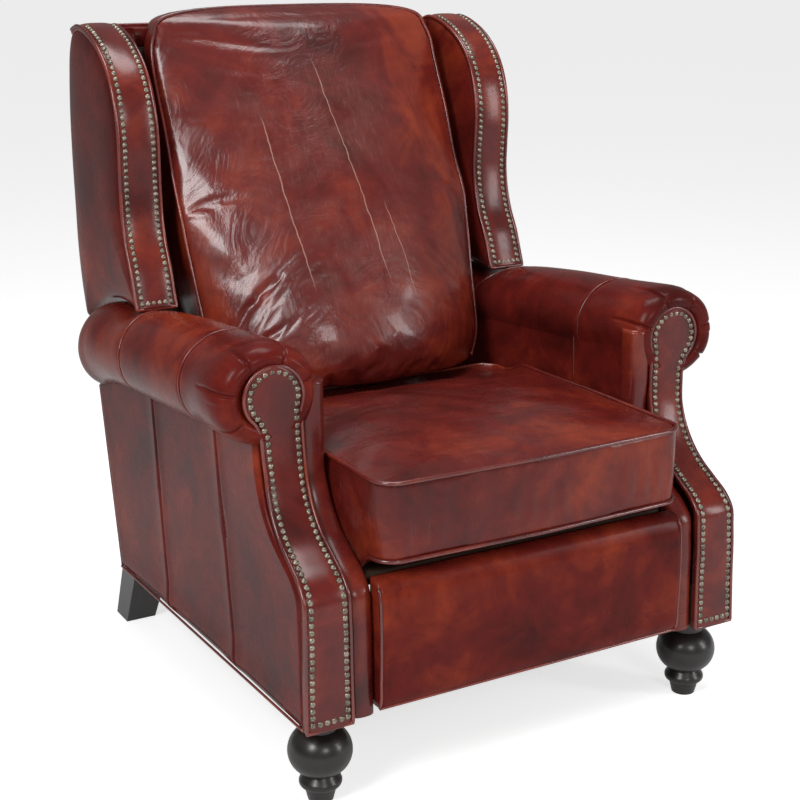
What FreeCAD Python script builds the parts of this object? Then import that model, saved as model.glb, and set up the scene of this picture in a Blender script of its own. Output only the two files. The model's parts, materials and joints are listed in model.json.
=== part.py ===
"""Wingback push-back recliner: frame, arms, reclining back, seat carriage and leg rest.

Millimetres, +Z up, the sitter faces -Y, and +X is on the right seen from the front.
The origin lies on the floor under the middle of the chair.
"""
import FreeCAD, Part
import math
import os
import re

Vector = FreeCAD.Vector
ACROSS = Vector(1, 0, 0)
DEEP = Vector(0, 1, 0)
UP = Vector(0, 0, 1)
SIDES = (("L", -1), ("R", 1))

# Driving dimensions. Setbacks are measured rearwards from the front plane of the arm facings.
DRIVING = {
    "front_plane": (-455, "y of the flat front of the arm facings"),
    "skirt_bottom": (139, "height of the upholstery's lower edge"),
    "side_outer": (387, "outer face of the arm side panel from the centre line"),
    "side_panel": (12, "thickness of the outside arm panel"),
    "arm_inner": (283, "inner face of the arm from the centre line"),
    "inner_pad": (16, "thickness of the inside arm padding"),
    "inner_pad_bottom": (345, "lower edge of the inside arm padding"),
    "arm_rear": (821, "setback of the arm's rear end at its top"),
    "arm_rear_foot": (753, "setback of the arm's rear end at the skirt"),
    "facing_thick": (10, "thickness of the padded arm facing"),
    "facing_foot_out": (388, "outer edge of the facing at the skirt"),
    "facing_foot_in": (313, "inner edge of the facing at the skirt"),
    "facing_neck": (377, "outer edge of the facing below the scroll"),
    "knee_height": (330, "height where the facing turns back"),
    "knee_setback": (8, "setback of the facing at its knee"),
    "slope_height": (395, "height where the slope ends"),
    "slope_setback": (88, "setback where the slope ends"),
    "scroll_setback": (145, "setback of the facing at the scroll"),
    "scroll_x": (358, "centre of the arm scroll from the centre line"),
    "scroll_z": (591, "height of the arm scroll's centre"),
    "scroll_round": (47, "radius of the scroll facing"),
    "roll_half": (80, "half width of the arm roll"),
    "roll_crown": (667, "top of the arm roll at the front"),
    "roll_under": (517, "underside of the arm roll at the front"),
    "roll_drop": (23, "fall of the crown to the middle of the arm"),
    "pillar_thick": (34, "width of the padded roll beside the facing"),
    "pillar_deep": (44, "depth of the padded roll beside the facing"),
    "nail_round": (4.8, "radius of a nail head"),
    "nail_rise": (2.8, "height of a nail head"),
    "nail_pitch": (10.7, "distance between nail heads"),
    "nail_edge": (8, "nail row to the facing's edge"),
    "pivot_setback": (690, "setback of the back's pivot"),
    "pivot_height": (300, "height of the back's pivot"),
    "wing_arc": (327, "radius of the wing's lower edge about the pivot"),
    "wing_inner": (311, "inner face of the wing"),
    "wing_outer": (380, "outer face of the wing"),
    "wing_top": (1068, "height of the wing's top"),
    "wing_rear": (924, "setback of the wing's rear edge"),
    "wing_foot": (622, "height of the wing facing's foot"),
    "wing_deep": (307, "depth of the wing from its facing's foot to its rear edge"),
    "wing_tip": (1054, "height where the wing's front meets its rounded top"),
    "wing_facing": (8, "thickness of the wing facing"),
    "back_panel": (12, "thickness of the outside back panel"),
    "back_waist": (590, "height where the outside back widens above the arms"),
    "back_foot": (262, "lower edge of the outside back panel"),
    "pillow_half": (276, "half width of the back cushion"),
    "pillow_foot": (486, "lower edge of the back cushion"),
    "pillow_top": (1096, "top of the back cushion"),
    "pillow_lumbar": (478, "setback of the back cushion's front at the waist"),
    "seat_half": (266, "half width of the seat cushion"),
    "seat_box": (147.7, "height of the seat cushion from its underside to its top piping"),
    "seat_crown": (24, "rise of the seat cushion's crown above its piping"),
    "seat_nose": (-14, "setback of the seat cushion's front"),
    "seat_tail": (548, "setback of the seat cushion's rear"),
    "deck_thick": (10, "thickness of the seat deck"),
    "deck_front": (48, "setback of the seat deck's front edge"),
    "seat_lift": (26, "rise of the cushion's underside over the leg rest"),
    "contact": (0.3, "gap between neighbours that touch"),
    "rail_thick": (26, "thickness of a wooden rail"),
    "rail_gap": (11, "seat rail face to the arm's inner face"),
    "seat_rail_low": (250, "lower edge of the seat rail"),
    "seat_rail_high": (330, "upper edge of the seat rail"),
    "seat_rail_front": (84, "setback of the seat rail's front end"),
    "seat_rail_rear": (600, "setback of the seat rail's rear end"),
    "side_rail_low": (150, "lower edge of the side rail"),
    "side_rail_high": (232, "upper edge of the side rail"),
    "side_rail_front": (48.3, "setback of the side rail's front end"),
    "cross_rail_high": (182, "upper edge of the cross rails"),
    "front_cross": (170, "setback of the front cross rail"),
    "rear_cross": (712, "setback of the rear cross rail"),
    "steel": (3, "thickness of plates and links"),
    "play": (1, "side gap between plates that pass each other"),
    "fit": (0.08, "radial gap between a pin and its hole"),
    "pin": (5, "radius of a pivot pin"),
    "link_half": (12, "half width of a link"),
    "swing_reach": (100, "pivot distance of a swing link"),
    "swing_lean": (16, "rest angle of a swing link"),
    "swing_front": (215, "setback of the front swing link's upper pivot"),
    "swing_rear": (500, "setback of the rear swing link's upper pivot"),
    "swing_height": (300, "height of the swing links' upper pivots"),
    "tube": (10, "radius of a cross tube"),
    "spring_wire": (2, "radius of the spring wire"),
    "lift_setback": (130, "setback of the leg rest's seat pivot"),
    "lift_height": (284, "height of the leg rest's seat pivot"),
    "lift_reach": (140, "pivot distance of a leg rest link"),
    "board_pivot": (62, "setback of the leg rest board's pivot"),
    "rest_half": (268, "half width of the leg rest"),
    "rest_low": (147, "lower edge of the leg rest"),
    "rest_high": (345, "upper edge of the leg rest"),
    "rest_face": (-4, "setback of the leg rest's front"),
    "rest_pad": (32, "thickness of the leg rest's padding"),
    "rest_board": (15, "thickness of the leg rest's board"),
    "leg_x": (341, "front leg's axis from the centre line"),
    "leg_setback": (52, "front leg's axis behind the front plane"),
    "leg_ball": (48, "radius of the flattened ball"),
    "leg_ball_z": (80, "height of the ball's centre"),
    "leg_neck": (26, "radius of the leg's neck"),
    "leg_foot": (24, "radius of the leg's foot"),
    "rear_leg_x": (347, "rear leg's axis from the centre line"),
    "rear_leg_foot": (800, "setback of the rear leg's foot"),
    "rear_leg_top": (735, "setback of the rear leg's top"),
    "rear_leg_wide": (64, "width of the rear leg"),
    "rear_leg_deep": (62, "depth of the rear leg's foot"),
    "post_thick": (28, "thickness of a back post"),
    "post_deep": (48, "depth of a back post"),
    "post_top": (985, "height of a back post's top"),
    "back_lean": (11.5, "angle of the back posts from upright"),
    "back_rail_low": (400, "height of the back's lower rail"),
    "top_rail_deep": (39, "depth of the back's top rail"),
    "top_rail_tall": (44, "height of the back's top rail"),
    "back_rail_tall": (46, "height of the back's lower rail"),
    "back_rail_deep": (22, "depth of the back's lower rail"),
    "seat_springs": (5, "number of seat springs"),
    "back_springs": (4, "number of back springs"),
    "spring_reach": (22, "half width of a zigzag spring"),
    "spring_turns": (11, "turns of a zigzag spring"),
}

doc = FreeCAD.newDocument("wingback_recliner")
sheet = doc.addObject("Spreadsheet::Sheet", "Sizes")
for row, (alias, (number, meaning)) in enumerate(DRIVING.items(), start=1):
    sheet.set(f"A{row}", meaning)
    sheet.set(f"B{row}", str(number))
    sheet.setAlias(f"B{row}", alias)
doc.recompute()

NODES = []


def linked(text):
    """The expression with every size named through the sheet."""
    return re.sub(r"\b[a-z]+(?:_[a-z]+)+\b|\b(?:steel|play|fit|pin|tube)\b",
                  lambda word: "Sizes." + word.group(), str(text))


def value(text):
    """The number that an expression on the sizes gives."""
    answer = sheet.evalExpression(linked(text).replace("Sizes.", ""))
    return float(getattr(answer, "Value", answer))


def bind(item, prop, text):
    item.setExpression(prop, linked(text))


def keep(item, label):
    item.Label = label
    NODES.append(item)
    return item


def place(item, spot):
    for letter, text in zip("xyz", spot):
        bind(item, f"Placement.Base.{letter}", text)


def side_name(stem, side):
    return f"{stem}_{side[0]}"


def block(name, low, high):
    """A box between two corners given as expressions."""
    box = doc.addObject("Part::Box", name)
    for prop, start, end in zip(("Length", "Width", "Height"), low, high):
        bind(box, prop, f"({end}) - ({start})")
    place(box, low)
    return box


def mirrored_block(name, sign, low, high):
    """A box given for the right side; the left one is its mirror image."""
    if sign > 0:
        return block(name, low, high)
    return block(name, (f"-({high[0]})", low[1], low[2]), (f"-({low[0]})", high[1], high[2]))


def rod(name, start, length, radius):
    """A round bar along X from its start."""
    bar = doc.addObject("Part::Cylinder", name)
    bind(bar, "Radius", radius)
    bind(bar, "Height", length)
    bar.Placement = FreeCAD.Placement(Vector(), FreeCAD.Rotation(UP, ACROSS))
    place(bar, start)
    return bar


def side_rod(name, sign, inner, length, setback, height, radius):
    """A round bar along X on one side, from its inner end outwards."""
    start = inner if sign > 0 else f"-({inner}) - ({length})"
    return rod(name, (start, f"front_plane + {setback}", height), length, radius)


def fused(name, items):
    join = doc.addObject("Part::MultiFuse", name)
    join.Shapes = items
    return join


def drilled(name, base, tools):
    """A piece with holes cut by tools."""
    cut = doc.addObject("Part::Cut", name)
    cut.Base = base
    cut.Tool = tools[0] if len(tools) == 1 else fused(f"{name}_tools", tools)
    return cut


def solid(name, shape):
    """A formed piece whose shape is worked out from the sizes."""
    item = doc.addObject("Part::Feature", name)
    item.Shape = shape
    item.Placement = shape.Placement
    return keep(item, name)


def pair(name, shape):
    """The same piece on both sides, given for the right side."""
    return solid(name, Part.makeCompound([mirror(shape, sign) for _, sign in SIDES]))


def mirror(shape, sign):
    return shape if sign > 0 else shape.mirror(Vector(), ACROSS)


def at(setback, height, x=0.0):
    """A point from its setback and height."""
    return Vector(x, value("front_plane") + setback, height)


def chain(points):
    """A wire through points; a triple of points is an arc through its middle one."""
    edges = []
    for step in points:
        edges.append(Part.LineSegment(*step) if len(step) == 2 else Part.Arc(*step))
    return Part.Wire([edge.toShape() for edge in edges])


def polygon_face(corners):
    return Part.Face(Part.makePolygon(list(corners) + [corners[0]]))


# Side layers, from the seat outwards: rail, seat plate, link, frame plate, side rail.
RAIL_OUT = "(arm_inner - rail_gap)"
RAIL_IN = f"({RAIL_OUT} - rail_thick)"
SEAT_PLATE_OUT = f"({RAIL_OUT} + steel)"
LINK_IN = f"({SEAT_PLATE_OUT} + play)"
FRAME_PLATE_IN = f"({LINK_IN} + steel + play)"


def link(inner, setback, height, angle, reach):
    """A flat link with round ends and two pin holes; it hangs at an angle from its upper pivot."""
    length = value(reach)
    wide = value("link_half")
    bore = value("pin + fit")
    ends = [Vector(0, 0, 0), Vector(0, 0, -length)]
    bar = Part.makeBox(value("steel"), 2 * wide, length, Vector(0, -wide, -length))
    for end in ends:
        bar = bar.fuse(Part.makeCylinder(wide, value("steel"), end, ACROSS))
    for end in ends:
        bar = bar.cut(Part.makeCylinder(bore, value("steel"), end, ACROSS))
    bar = bar.removeSplitter()
    bar.rotate(Vector(), ACROSS, angle)
    bar.translate(at(setback, height, value(inner)))
    return bar


def pins(name, inner, length, spots, sides=SIDES):
    """Pivot pins on both sides, one group of separate solids."""
    solids = []
    for _, sign in sides:
        start = value(inner) if sign > 0 else -value(inner) - value(length)
        for setback, height in spots:
            solids.append(Part.makeCylinder(value("pin"), value(length),
                                            at(setback, height, start), ACROSS))
    return solid(name, Part.makeCompound(solids))


# Places of the moving pivots at rest.
LEAN = math.radians(value("swing_lean"))
SWING_BACK = value("swing_reach") * math.sin(LEAN)
SWING_DOWN = value("swing_reach") * math.cos(LEAN)
LIFT_HALF = (value("lift_setback") - value("board_pivot")) / 2
LIFT_ANGLE = math.degrees(math.asin(LIFT_HALF / value("lift_reach")))
LIFT_DROP = math.sqrt(value("lift_reach") ** 2 - LIFT_HALF ** 2)
LINK_KNEE = (value("board_pivot") + LIFT_HALF, value("lift_height") - LIFT_DROP)


def facing_line(extra=0.0):
    """The front of the arm facing seen from the side: straight, a slope back, then upright."""
    top = value("scroll_z") + value("scroll_round") + 5
    foot = at(extra, value("skirt_bottom"))
    knee = at(value("knee_setback") + extra, value("knee_height"))
    turn = at(value("knee_setback") + 4 + extra, value("knee_height") + 13)
    slope = at(value("knee_setback") + 15 + extra, value("knee_height") + 20)
    bend = at(value("slope_setback") + extra, value("slope_height"))
    waist = at(value("slope_setback") + 37 + extra, value("slope_height") + 45)
    neck = at(value("scroll_setback") - 2 + extra, value("slope_height") + 106)
    end = at(value("scroll_setback") + extra, top)
    return [(foot, knee), (knee, turn, slope), (slope, bend), (bend, waist, neck), (neck, end)]


def band(front, rear, half):
    """A sheet between two lines, carried from the centre line outwards."""
    joined = chain(front + [(front[-1][-1], rear[-1][-1])]
                   + [tuple(reversed(step)) for step in reversed(rear)]
                   + [(rear[0][0], front[0][0])])
    return Part.Face(joined).extrude(Vector(half, 0, 0))


def facing_outline():
    """The arm facing seen from the front: a strip that ends in a round scroll."""
    low = value("skirt_bottom")
    strip = polygon_face([
        Vector(value("facing_foot_in"), 0, low),
        Vector(value("facing_foot_out"), 0, low),
        Vector(value("facing_foot_out - 4"), 0, value("knee_height")),
        Vector(value("facing_neck"), 0, value("slope_height + 85")),
        Vector(value("facing_neck + 5"), 0, value("scroll_z - 38")),
        Vector(value("scroll_x"), 0, value("scroll_z")),
        Vector(value("facing_foot_in + 3"), 0, value("scroll_z - 20")),
        Vector(value("facing_foot_in"), 0, value("slope_height + 100")),
        Vector(value("facing_foot_in"), 0, value("knee_height")),
    ])
    scroll = Part.Face(Part.Wire(Part.makeCircle(value("scroll_round"),
                                                 Vector(value("scroll_x"), 0, value("scroll_z")),
                                                 DEEP)))
    return strip, scroll


def arm_facing(side):
    """The padded strip down the front of the arm."""
    strip, scroll = facing_outline()
    start = Vector(0, 2 * value("front_plane"), 0)
    reach = Vector(0, -2 * value("front_plane"), 0)
    shapes = []
    for face in (strip, scroll):
        face.translate(start)
        shapes.append(face.extrude(reach))
    whole = shapes[0].fuse(shapes[1])
    thick = band(facing_line(), facing_line(value("facing_thick")), value("side_outer") + 60)
    shape = whole.common(thick).removeSplitter()
    solid(side_name("arm_facing", side), mirror(shape, side[1]))


def oval(setback, crown, under, half, centre):
    """A closed oval of four arcs across the arm."""
    middle = (crown + under) / 2
    tall = (crown - under) / 2
    points = []
    for step in range(8):
        turn = math.radians(45 * step)
        points.append(at(setback, middle + tall * math.sin(turn), centre + half * math.cos(turn)))
    points.append(points[0])
    return chain([(points[n], points[n + 1], points[n + 2]) for n in (0, 2, 4, 6)])


def roll_shape():
    """The arm roll: plump at the front, lower where the wing passes over its rear end."""
    half = value("roll_half")
    centre = value("scroll_x + 2")
    crown = value("roll_crown")
    under = value("roll_under")
    start = value("scroll_setback + facing_thick")
    clear = value("wing_arc") - 10
    pivot = value("pivot_setback")

    def under_wing(setback):
        return value("pivot_height") + math.sqrt(clear ** 2 - (setback - pivot) ** 2)

    rear = value("arm_rear")
    fall = value("roll_drop")
    stations = [
        oval(start, crown - 18, under + 18, half - 20, centre),
        oval(start + 8, crown - 5, under + 5, half - 6, centre),
        oval(start + 30, crown, under, half, centre),
        oval(start + 290, crown - fall, under - 23, half, centre),
        oval(pivot - 110, crown - fall - 18, under - 30, half, centre),
        oval(pivot - 40, under_wing(pivot - 40) - 3, under - 37, half - 2, centre),
        oval(pivot + 60, under_wing(pivot + 60) - 2, under - 56, half - 7, centre),
        oval(rear - 9, under_wing(rear - 9), under - 72, half - 14, centre),
    ]
    return Part.makeLoft(stations, True, False)


def outside_arm_shape(roll):
    """The outer side panel under the roll."""
    low = value("skirt_bottom")
    rear_low = low - 19
    outer = value("side_outer")
    depth = value("facing_thick") + 0.5
    front = facing_line(depth)
    end = front[-1][-1]
    top = at(value("arm_rear"), value("roll_under") - 40)
    near = at(value("scroll_setback") + 60, value("scroll_z"))
    far = at(value("arm_rear") - 60, value("scroll_z") - 67)
    edge = chain(front + [(end, near), (near, far), (far, top),
                          (top, at(value("arm_rear_foot"), rear_low)),
                          (at(value("arm_rear_foot"), rear_low), front[0][0])])
    panel = Part.Face(edge).extrude(Vector(value("side_panel"), 0, 0))
    panel.translate(Vector(outer - value("side_panel"), 0, 0))
    return panel.cut(roll)


def inside_arm_shape(roll, pillar):
    """The padded inner face of the arm, from the seat deck up to the roll."""
    low = value("inner_pad_bottom")
    setback = value("slope_setback + facing_thick")
    corners = [at(value("knee_setback") + 60, low), at(setback + 30, value("slope_height") + 15),
               at(value("scroll_setback") + 14, value("slope_height") + 95),
               at(value("scroll_setback") + 14, value("scroll_z")),
               at(value("arm_rear") - 60, value("scroll_z") - 67),
               at(value("arm_rear") - 60, low)]
    pad = polygon_face(corners).extrude(Vector(value("inner_pad"), 0, 0))
    pad.translate(Vector(value("arm_inner"), 0, 0))
    return pad.cut(roll).cut(pillar)


def arm_pillar_shape():
    """The padded roll beside the facing, from the skirt up the slope."""
    outer = value("facing_foot_in") - 0.5
    inner = outer - value("pillar_thick")
    front = facing_line(4)[:4]
    rear = facing_line(value("pillar_deep"))[:4]
    sheet_shape = band(front, rear, value("pillar_thick"))
    sheet_shape.translate(Vector(inner, 0, 0))
    return sheet_shape


def arm_posts():
    """The uprights of the arm frames, standing on the side rails."""
    inner = value("arm_inner + inner_pad + contact")
    low = value("side_rail_high")
    posts = []
    for setback, top in ((value("knee_setback") + 100, value("slope_height - 20")),
                         (value("pivot_setback") - 20, value("roll_under - 56"))):
        post = Part.makeBox(34, 60, top - low, at(setback, low, inner))
        posts += [mirror(post, sign) for _, sign in SIDES]
    solid("arm_posts", Part.makeCompound(posts))


def leg_blocks():
    """The corner blocks that the legs screw into."""
    low = value("skirt_bottom")
    front = Part.makeBox(54, 72, 70, at(value("leg_setback - 38.6"), low, value("leg_x - 27")))
    inner = value("arm_inner + rail_thick")
    foot = low - 20
    rear = Part.makeBox(value("side_outer - side_panel - contact") - inner, 66,
                        value("side_rail_high") - foot, at(value("rear_leg_top - 35"), foot, inner))
    solid("leg_blocks", Part.makeCompound([mirror(item, sign) for item in (front, rear)
                                           for _, sign in SIDES]))


def nail(spot, normal):
    """A nail head: the cap of a sphere lying on the facing."""
    radius = value("nail_round")
    rise = value("nail_rise")
    ball = (radius ** 2 + rise ** 2) / (2 * rise)
    rim = math.degrees(math.asin((ball - rise) / ball))
    head = Part.makeSphere(ball, Vector(0, 0, rise - ball), UP, rim, 90, 360)
    head.Placement = FreeCAD.Placement(spot + normal * value("contact"),
                                       FreeCAD.Rotation(UP, normal))
    return head


def crossing(line, height):
    """The point where a side profile crosses a height."""
    reach = 2 * value("arm_rear")
    level = Part.makeLine(Vector(0, -reach, height), Vector(0, reach, height))
    return line.distToShape(level)[1][0][0]


def depth_on(line, height):
    """Where a nail head rests on a side profile: its point and its outward direction."""
    step = value("nail_round")
    spot = crossing(line, height)
    under = crossing(line, height - step)
    above = crossing(line, height + step)
    along = above.sub(under)
    along.normalize()
    bridge = (under + above) / 2
    if bridge.y < spot.y:
        spot = bridge
    return spot, Vector(0, -along.z, along.y)


def nail_row(path, line, pitch):
    """Nail heads at even steps along a path seen from the front, laid on a side profile."""
    count = max(2, round(path.Length / pitch))
    heads = []
    for point in path.discretize(Number=count + 1):
        spot, normal = depth_on(line, point.z)
        heads.append(nail(Vector(point.x, spot.y, spot.z), normal))
    return heads


def arm_nail_path():
    """The nail line of the arm: up the outer edge, round the scroll and down the inner edge."""
    edge = value("nail_edge")
    low = value("skirt_bottom") + edge + 6
    out = value("facing_foot_out") - edge
    inn = value("facing_foot_in") + edge
    radius = value("scroll_round") - edge
    centre = Vector(value("scroll_x"), 0, value("scroll_z"))
    ring = [centre + Vector(radius * math.cos(math.radians(a)), 0, radius * math.sin(math.radians(a)))
            for a in (-52, 64, 180)]
    outer = [Vector(out, 0, low), Vector(out - 4, 0, value("knee_height")),
             Vector(value("facing_neck") - edge, 0, value("slope_height") + 85), ring[0]]
    inner = [ring[2], Vector(inn, 0, value("slope_height") + 100),
             Vector(inn, 0, value("knee_height")), Vector(inn, 0, low)]
    steps = [(outer[n], outer[n + 1]) for n in range(3)] + [(ring[0], ring[1], ring[2])]
    steps += [(inner[n], inner[n + 1]) for n in range(3)]
    return chain(steps)


def arm_nails(side):
    line = chain(facing_line())
    heads = nail_row(arm_nail_path(), line, value("nail_pitch"))
    low = value("skirt_bottom") + value("nail_edge") + 6
    first = value("facing_foot_in") + value("nail_edge")
    wide = value("facing_foot_out") - value("nail_edge") - first
    count = round(wide / value("nail_pitch"))
    for step in range(1, count):
        spot, normal = depth_on(line, low)
        heads.append(nail(Vector(first + wide * step / count, spot.y, spot.z), normal))
    solid(side_name("arm_nails", side), mirror(Part.makeCompound(heads), side[1]))


def wing_point(forward, up, extra=0.0):
    """A point on the wing: forward as a share of its depth, up as a share of its front's height."""
    low = value("wing_foot")
    return at(value("wing_rear") - forward * value("wing_deep") + extra,
              low + up * (value("wing_tip") - low))


def wing_line(extra=0.0):
    """The front of the wing seen from the side: hollow above, full below."""
    foot, low, waist, mid, turn, high, tip = [
        wing_point(forward, up, extra)
        for forward, up in ((1, 0), (0.863, 0.2245), (0.808, 0.412), (0.8143, 0.5972),
                            (0.7622, 0.8009), (0.6156, 0.9329), (0.43, 1))]
    return [(foot, low), (low, waist, mid), (mid, turn, high), (high, tip)]


def pivot_arc(radius, first, last):
    """An arc about the back's pivot between two angles from upright."""
    points = []
    for angle in (first, (first + last) / 2, last):
        turn = math.radians(angle)
        points.append(at(value("pivot_setback") + radius * math.sin(turn),
                         value("pivot_height") + radius * math.cos(turn)))
    return tuple(points)


def wing_shape():
    """The wing: hollow front, rounded top, upright rear and an arc over the arm roll."""
    front = wing_line(value("wing_facing") + 0.5)
    rear = value("wing_rear")
    top = value("wing_top")
    tip = front[-1][-1]
    arc = pivot_arc(value("wing_arc"), -8, 38)
    crest = at(rear - 64, top)
    shoulder = at(rear - 14, top - 66)
    edge = chain(front + [(tip, at(rear - 98, top - 3), crest), (crest, at(rear - 31, top - 18), shoulder),
                          (shoulder, at(rear, top - 190), at(rear - 8, top - 400)),
                          (at(rear - 8, top - 400), arc[2]), tuple(reversed(arc)),
                          (arc[0], front[0][0])])
    shape = Part.Face(edge).extrude(Vector(value("wing_outer - wing_inner"), 0, 0))
    shape.translate(Vector(value("wing_inner"), 0, 0))
    return shape


def wing_facing(side):
    """The padded strip down the front of the wing, with two rows of nails."""
    strip = band(wing_line(), wing_line(value("wing_facing")), value("wing_outer - wing_inner - 4"))
    strip.translate(Vector(value("wing_inner + 2"), 0, 0))
    solid(side_name("wing_facing", side), mirror(strip, side[1]))
    line = chain(wing_line())
    edge = value("nail_edge") + 2
    heads = []
    low = value("wing_foot + nail_edge")
    high = value("wing_tip") - 14
    for x in (value("wing_inner") + edge, value("wing_outer") - edge):
        path = Part.Wire(Part.makeLine(Vector(x, 0, low), Vector(x, 0, high)))
        heads += nail_row(path, line, value("nail_pitch"))
    first = value("wing_inner") + edge
    wide = value("wing_outer") - edge - first
    count = round(wide / value("nail_pitch"))
    for step in range(1, count):
        spot, normal = depth_on(line, low)
        heads.append(nail(Vector(first + wide * step / count, spot.y, spot.z), normal))
    solid(side_name("wing_nails", side), mirror(Part.makeCompound(heads), side[1]))


def cushion_section(half, low, edge, crown, setback):
    """A cushion across the seat: flat below, drawn-in sides and a crowned top."""
    left = at(setback, low, -half)
    right = at(setback, low, half)
    left_top = at(setback, edge, -half)
    right_top = at(setback, edge, half)
    waist = 4
    return chain([(left, right), (right, at(setback, (low + edge) / 2, half - waist), right_top),
                  (right_top, at(setback, crown), left_top),
                  (left_top, at(setback, (low + edge) / 2, -half + waist), left)])


def seat_cushion():
    """The box cushion: crowned, with a rounded nose and a lower tail under the back cushion."""
    half = value("seat_half")
    low = value("seat_rail_high + deck_thick + contact")
    edge = low + value("seat_box")
    crown = edge + value("seat_crown")
    nose = value("seat_nose")
    tail = value("seat_tail")
    foot = value("pillow_foot")
    lift = value("seat_lift")
    stations = [
        cushion_section(half - 14, low + lift + 8, edge - 14, edge - 8, nose),
        cushion_section(half, low + lift, edge, edge + 8, nose + 26),
        cushion_section(half, low, edge, crown - 8, nose + 100),
        cushion_section(half, low, edge, crown, nose + 230),
        cushion_section(half, low, edge - 8, crown - 14, nose + 380),
        cushion_section(half, low, foot - 32, foot - 14, nose + 470),
        cushion_section(half - 10, low + 10, foot - 44, foot - 30, tail),
    ]
    deck = at(value("deck_front"), low - 60, -half - 20)
    under = Part.makeBox(2 * half + 40, tail, 60, deck)
    solid("seat_cushion", Part.makeLoft(stations, True, False).cut(under))


def pillow_section(height, half, edge, front):
    """A slice through the back cushion: flat rear on the posts, short sides and a full front."""
    rear = back_plane(height) - value("contact")
    rear_left = at(rear, height, -half)
    rear_right = at(rear, height, half)
    left = at(edge, height, -half)
    right = at(edge, height, half)
    return chain([(rear_left, rear_right), (rear_right, right),
                  (right, at(front, height), left), (left, rear_left)])


def back_cushion():
    """The tall back cushion, full at the waist and thinner at the head.

    Each slice gives its height, its narrowing, and its seam and front as shares of the fullness."""
    half = value("pillow_half")
    foot = value("pillow_foot")
    top = value("pillow_top")
    tall = top - foot
    full = back_plane(foot) - value("pillow_lumbar")
    stations = []
    for up, narrow, welt, front in ((0, 36, 0.744, 1.085), (0.08, 16, 0.713, 1.132),
                                    (0.2, 8, 0.616, 1.088), (0.4, 2, 0.487, 0.914),
                                    (0.68, 0, 0.375, 0.662), (0.9, 5, 0.270, 0.472),
                                    (1, 52, 0.194, 0.310)):
        height = foot + up * tall
        rear = back_plane(height)
        stations.append(pillow_section(height, half - narrow, rear - welt * full,
                                       rear - front * full))
    solid("back_cushion", Part.makeLoft(stations, True, False))


def back_line(extra=0.0):
    """The rear face of the chair's back seen from the side."""
    rear = value("wing_rear") - extra
    waist = value("back_waist")
    top = value("wing_top")
    low = at(rear - 34, waist - 42)
    upright = at(rear, top - 188)
    return [(at(rear - 128, value("back_foot")), low),
            (low, at(rear - 2, waist + 110), upright),
            (upright, at(rear - 12, top - 83), at(rear - 40, top - 4))]


def outside_back():
    """The panel that closes the back: narrow between the arms, full width above them."""
    thick = value("back_panel")
    half = value("arm_inner") - 12
    slab = band(back_line(), back_line(thick), 2 * value("wing_outer"))
    slab.translate(Vector(-value("wing_outer"), 0, 0))
    waist = value("back_waist")
    wide = value("wing_inner - contact")
    top = value("wing_top") + 10
    low = value("back_foot") - 5
    outline = polygon_face([Vector(-half, 0, low), Vector(half, 0, low), Vector(half, 0, waist),
                            Vector(wide, 0, waist), Vector(wide, 0, top), Vector(-wide, 0, top),
                            Vector(-wide, 0, waist), Vector(-half, 0, waist)])
    reach = 2 * value("wing_rear")
    outline.translate(Vector(0, -reach, 0))
    solid("outside_back", outline.extrude(Vector(0, 2 * reach, 0)).common(slab).removeSplitter())


def back_plane(height):
    """Setback of the back posts' front face at a height."""
    foot = value("pivot_height") - 50
    return value("pivot_setback") - 2 + (height - foot) * math.tan(math.radians(value("back_lean")))


def back_frame():
    """The back posts, their rails, and the steel brackets that turn on the pivot pins."""
    deep = value("post_deep")
    thick = value("post_thick")
    outer = value(FRAME_PLATE_IN) - value("play") - value("steel")
    pivot = value("pivot_setback")
    height = value("pivot_height")
    foot = height - 50
    top = value("post_top")
    corners = [at(back_plane(foot), foot), at(back_plane(foot) + deep, foot),
               at(back_plane(top) + deep, top), at(back_plane(top), top)]
    post = polygon_face(corners).extrude(Vector(thick, 0, 0))
    post.translate(Vector(outer - thick, 0, 0))
    hole = Part.makeCylinder(value("pin") + 3, thick, at(pivot, height, outer - thick), ACROSS)
    for side in SIDES:
        solid(side_name("back_post", side), mirror(post.cut(hole), side[1]))
    plate = polygon_face([at(pivot - 24, height - 22), at(pivot + 28, height - 40),
                          at(pivot + 66, height + 120), at(pivot + 22, height + 120),
                          at(pivot - 24, height + 24)])
    plate = plate.extrude(Vector(value("steel"), 0, 0))
    plate.translate(Vector(outer, 0, 0))
    bore = Part.makeCylinder(value("pin + fit"), value("steel"), at(pivot, height, outer), ACROSS)
    pair("back_brackets", plate.cut(bore))
    low = value("back_rail_low")
    inner = outer - thick
    tall = value("back_rail_tall")
    rail = Part.makeBox(2 * inner, value("back_rail_deep"), tall,
                        at(back_plane(low + tall) + 2, low, -inner))
    solid("back_lower_rail", rail)
    reach = value("wing_inner - contact")
    tall = value("top_rail_tall")
    top_rail = Part.makeBox(2 * reach, value("top_rail_deep"), tall,
                            at(back_plane(top + tall), top, -reach))
    solid("back_top_rail", top_rail)


def zigzag(start, along, length):
    """A zigzag spring: straight runs across and half-circle turns, from a start point."""
    count = int(value("spring_turns"))
    reach = value("spring_reach")
    wire = value("spring_wire")
    pitch = (length - 2 * wire) / count
    edges = []
    for run in range(count + 1):
        sign = 1 if run % 2 else -1
        near = start + along * (wire + pitch * run) + ACROSS * (-sign * reach)
        far = near + ACROSS * (2 * sign * reach)
        edges.append(Part.LineSegment(near, far).toShape())
        if run < count:
            turn = far + along * (pitch / 2) + ACROSS * (sign * pitch / 2)
            edges.append(Part.Arc(far, turn, far + along * pitch).toShape())
    path = Part.Wire(edges)
    ring = Part.Wire(Part.makeCircle(wire, edges[0].Vertexes[0].Point, ACROSS))
    return path.makePipeShell([ring], True, False)


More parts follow.
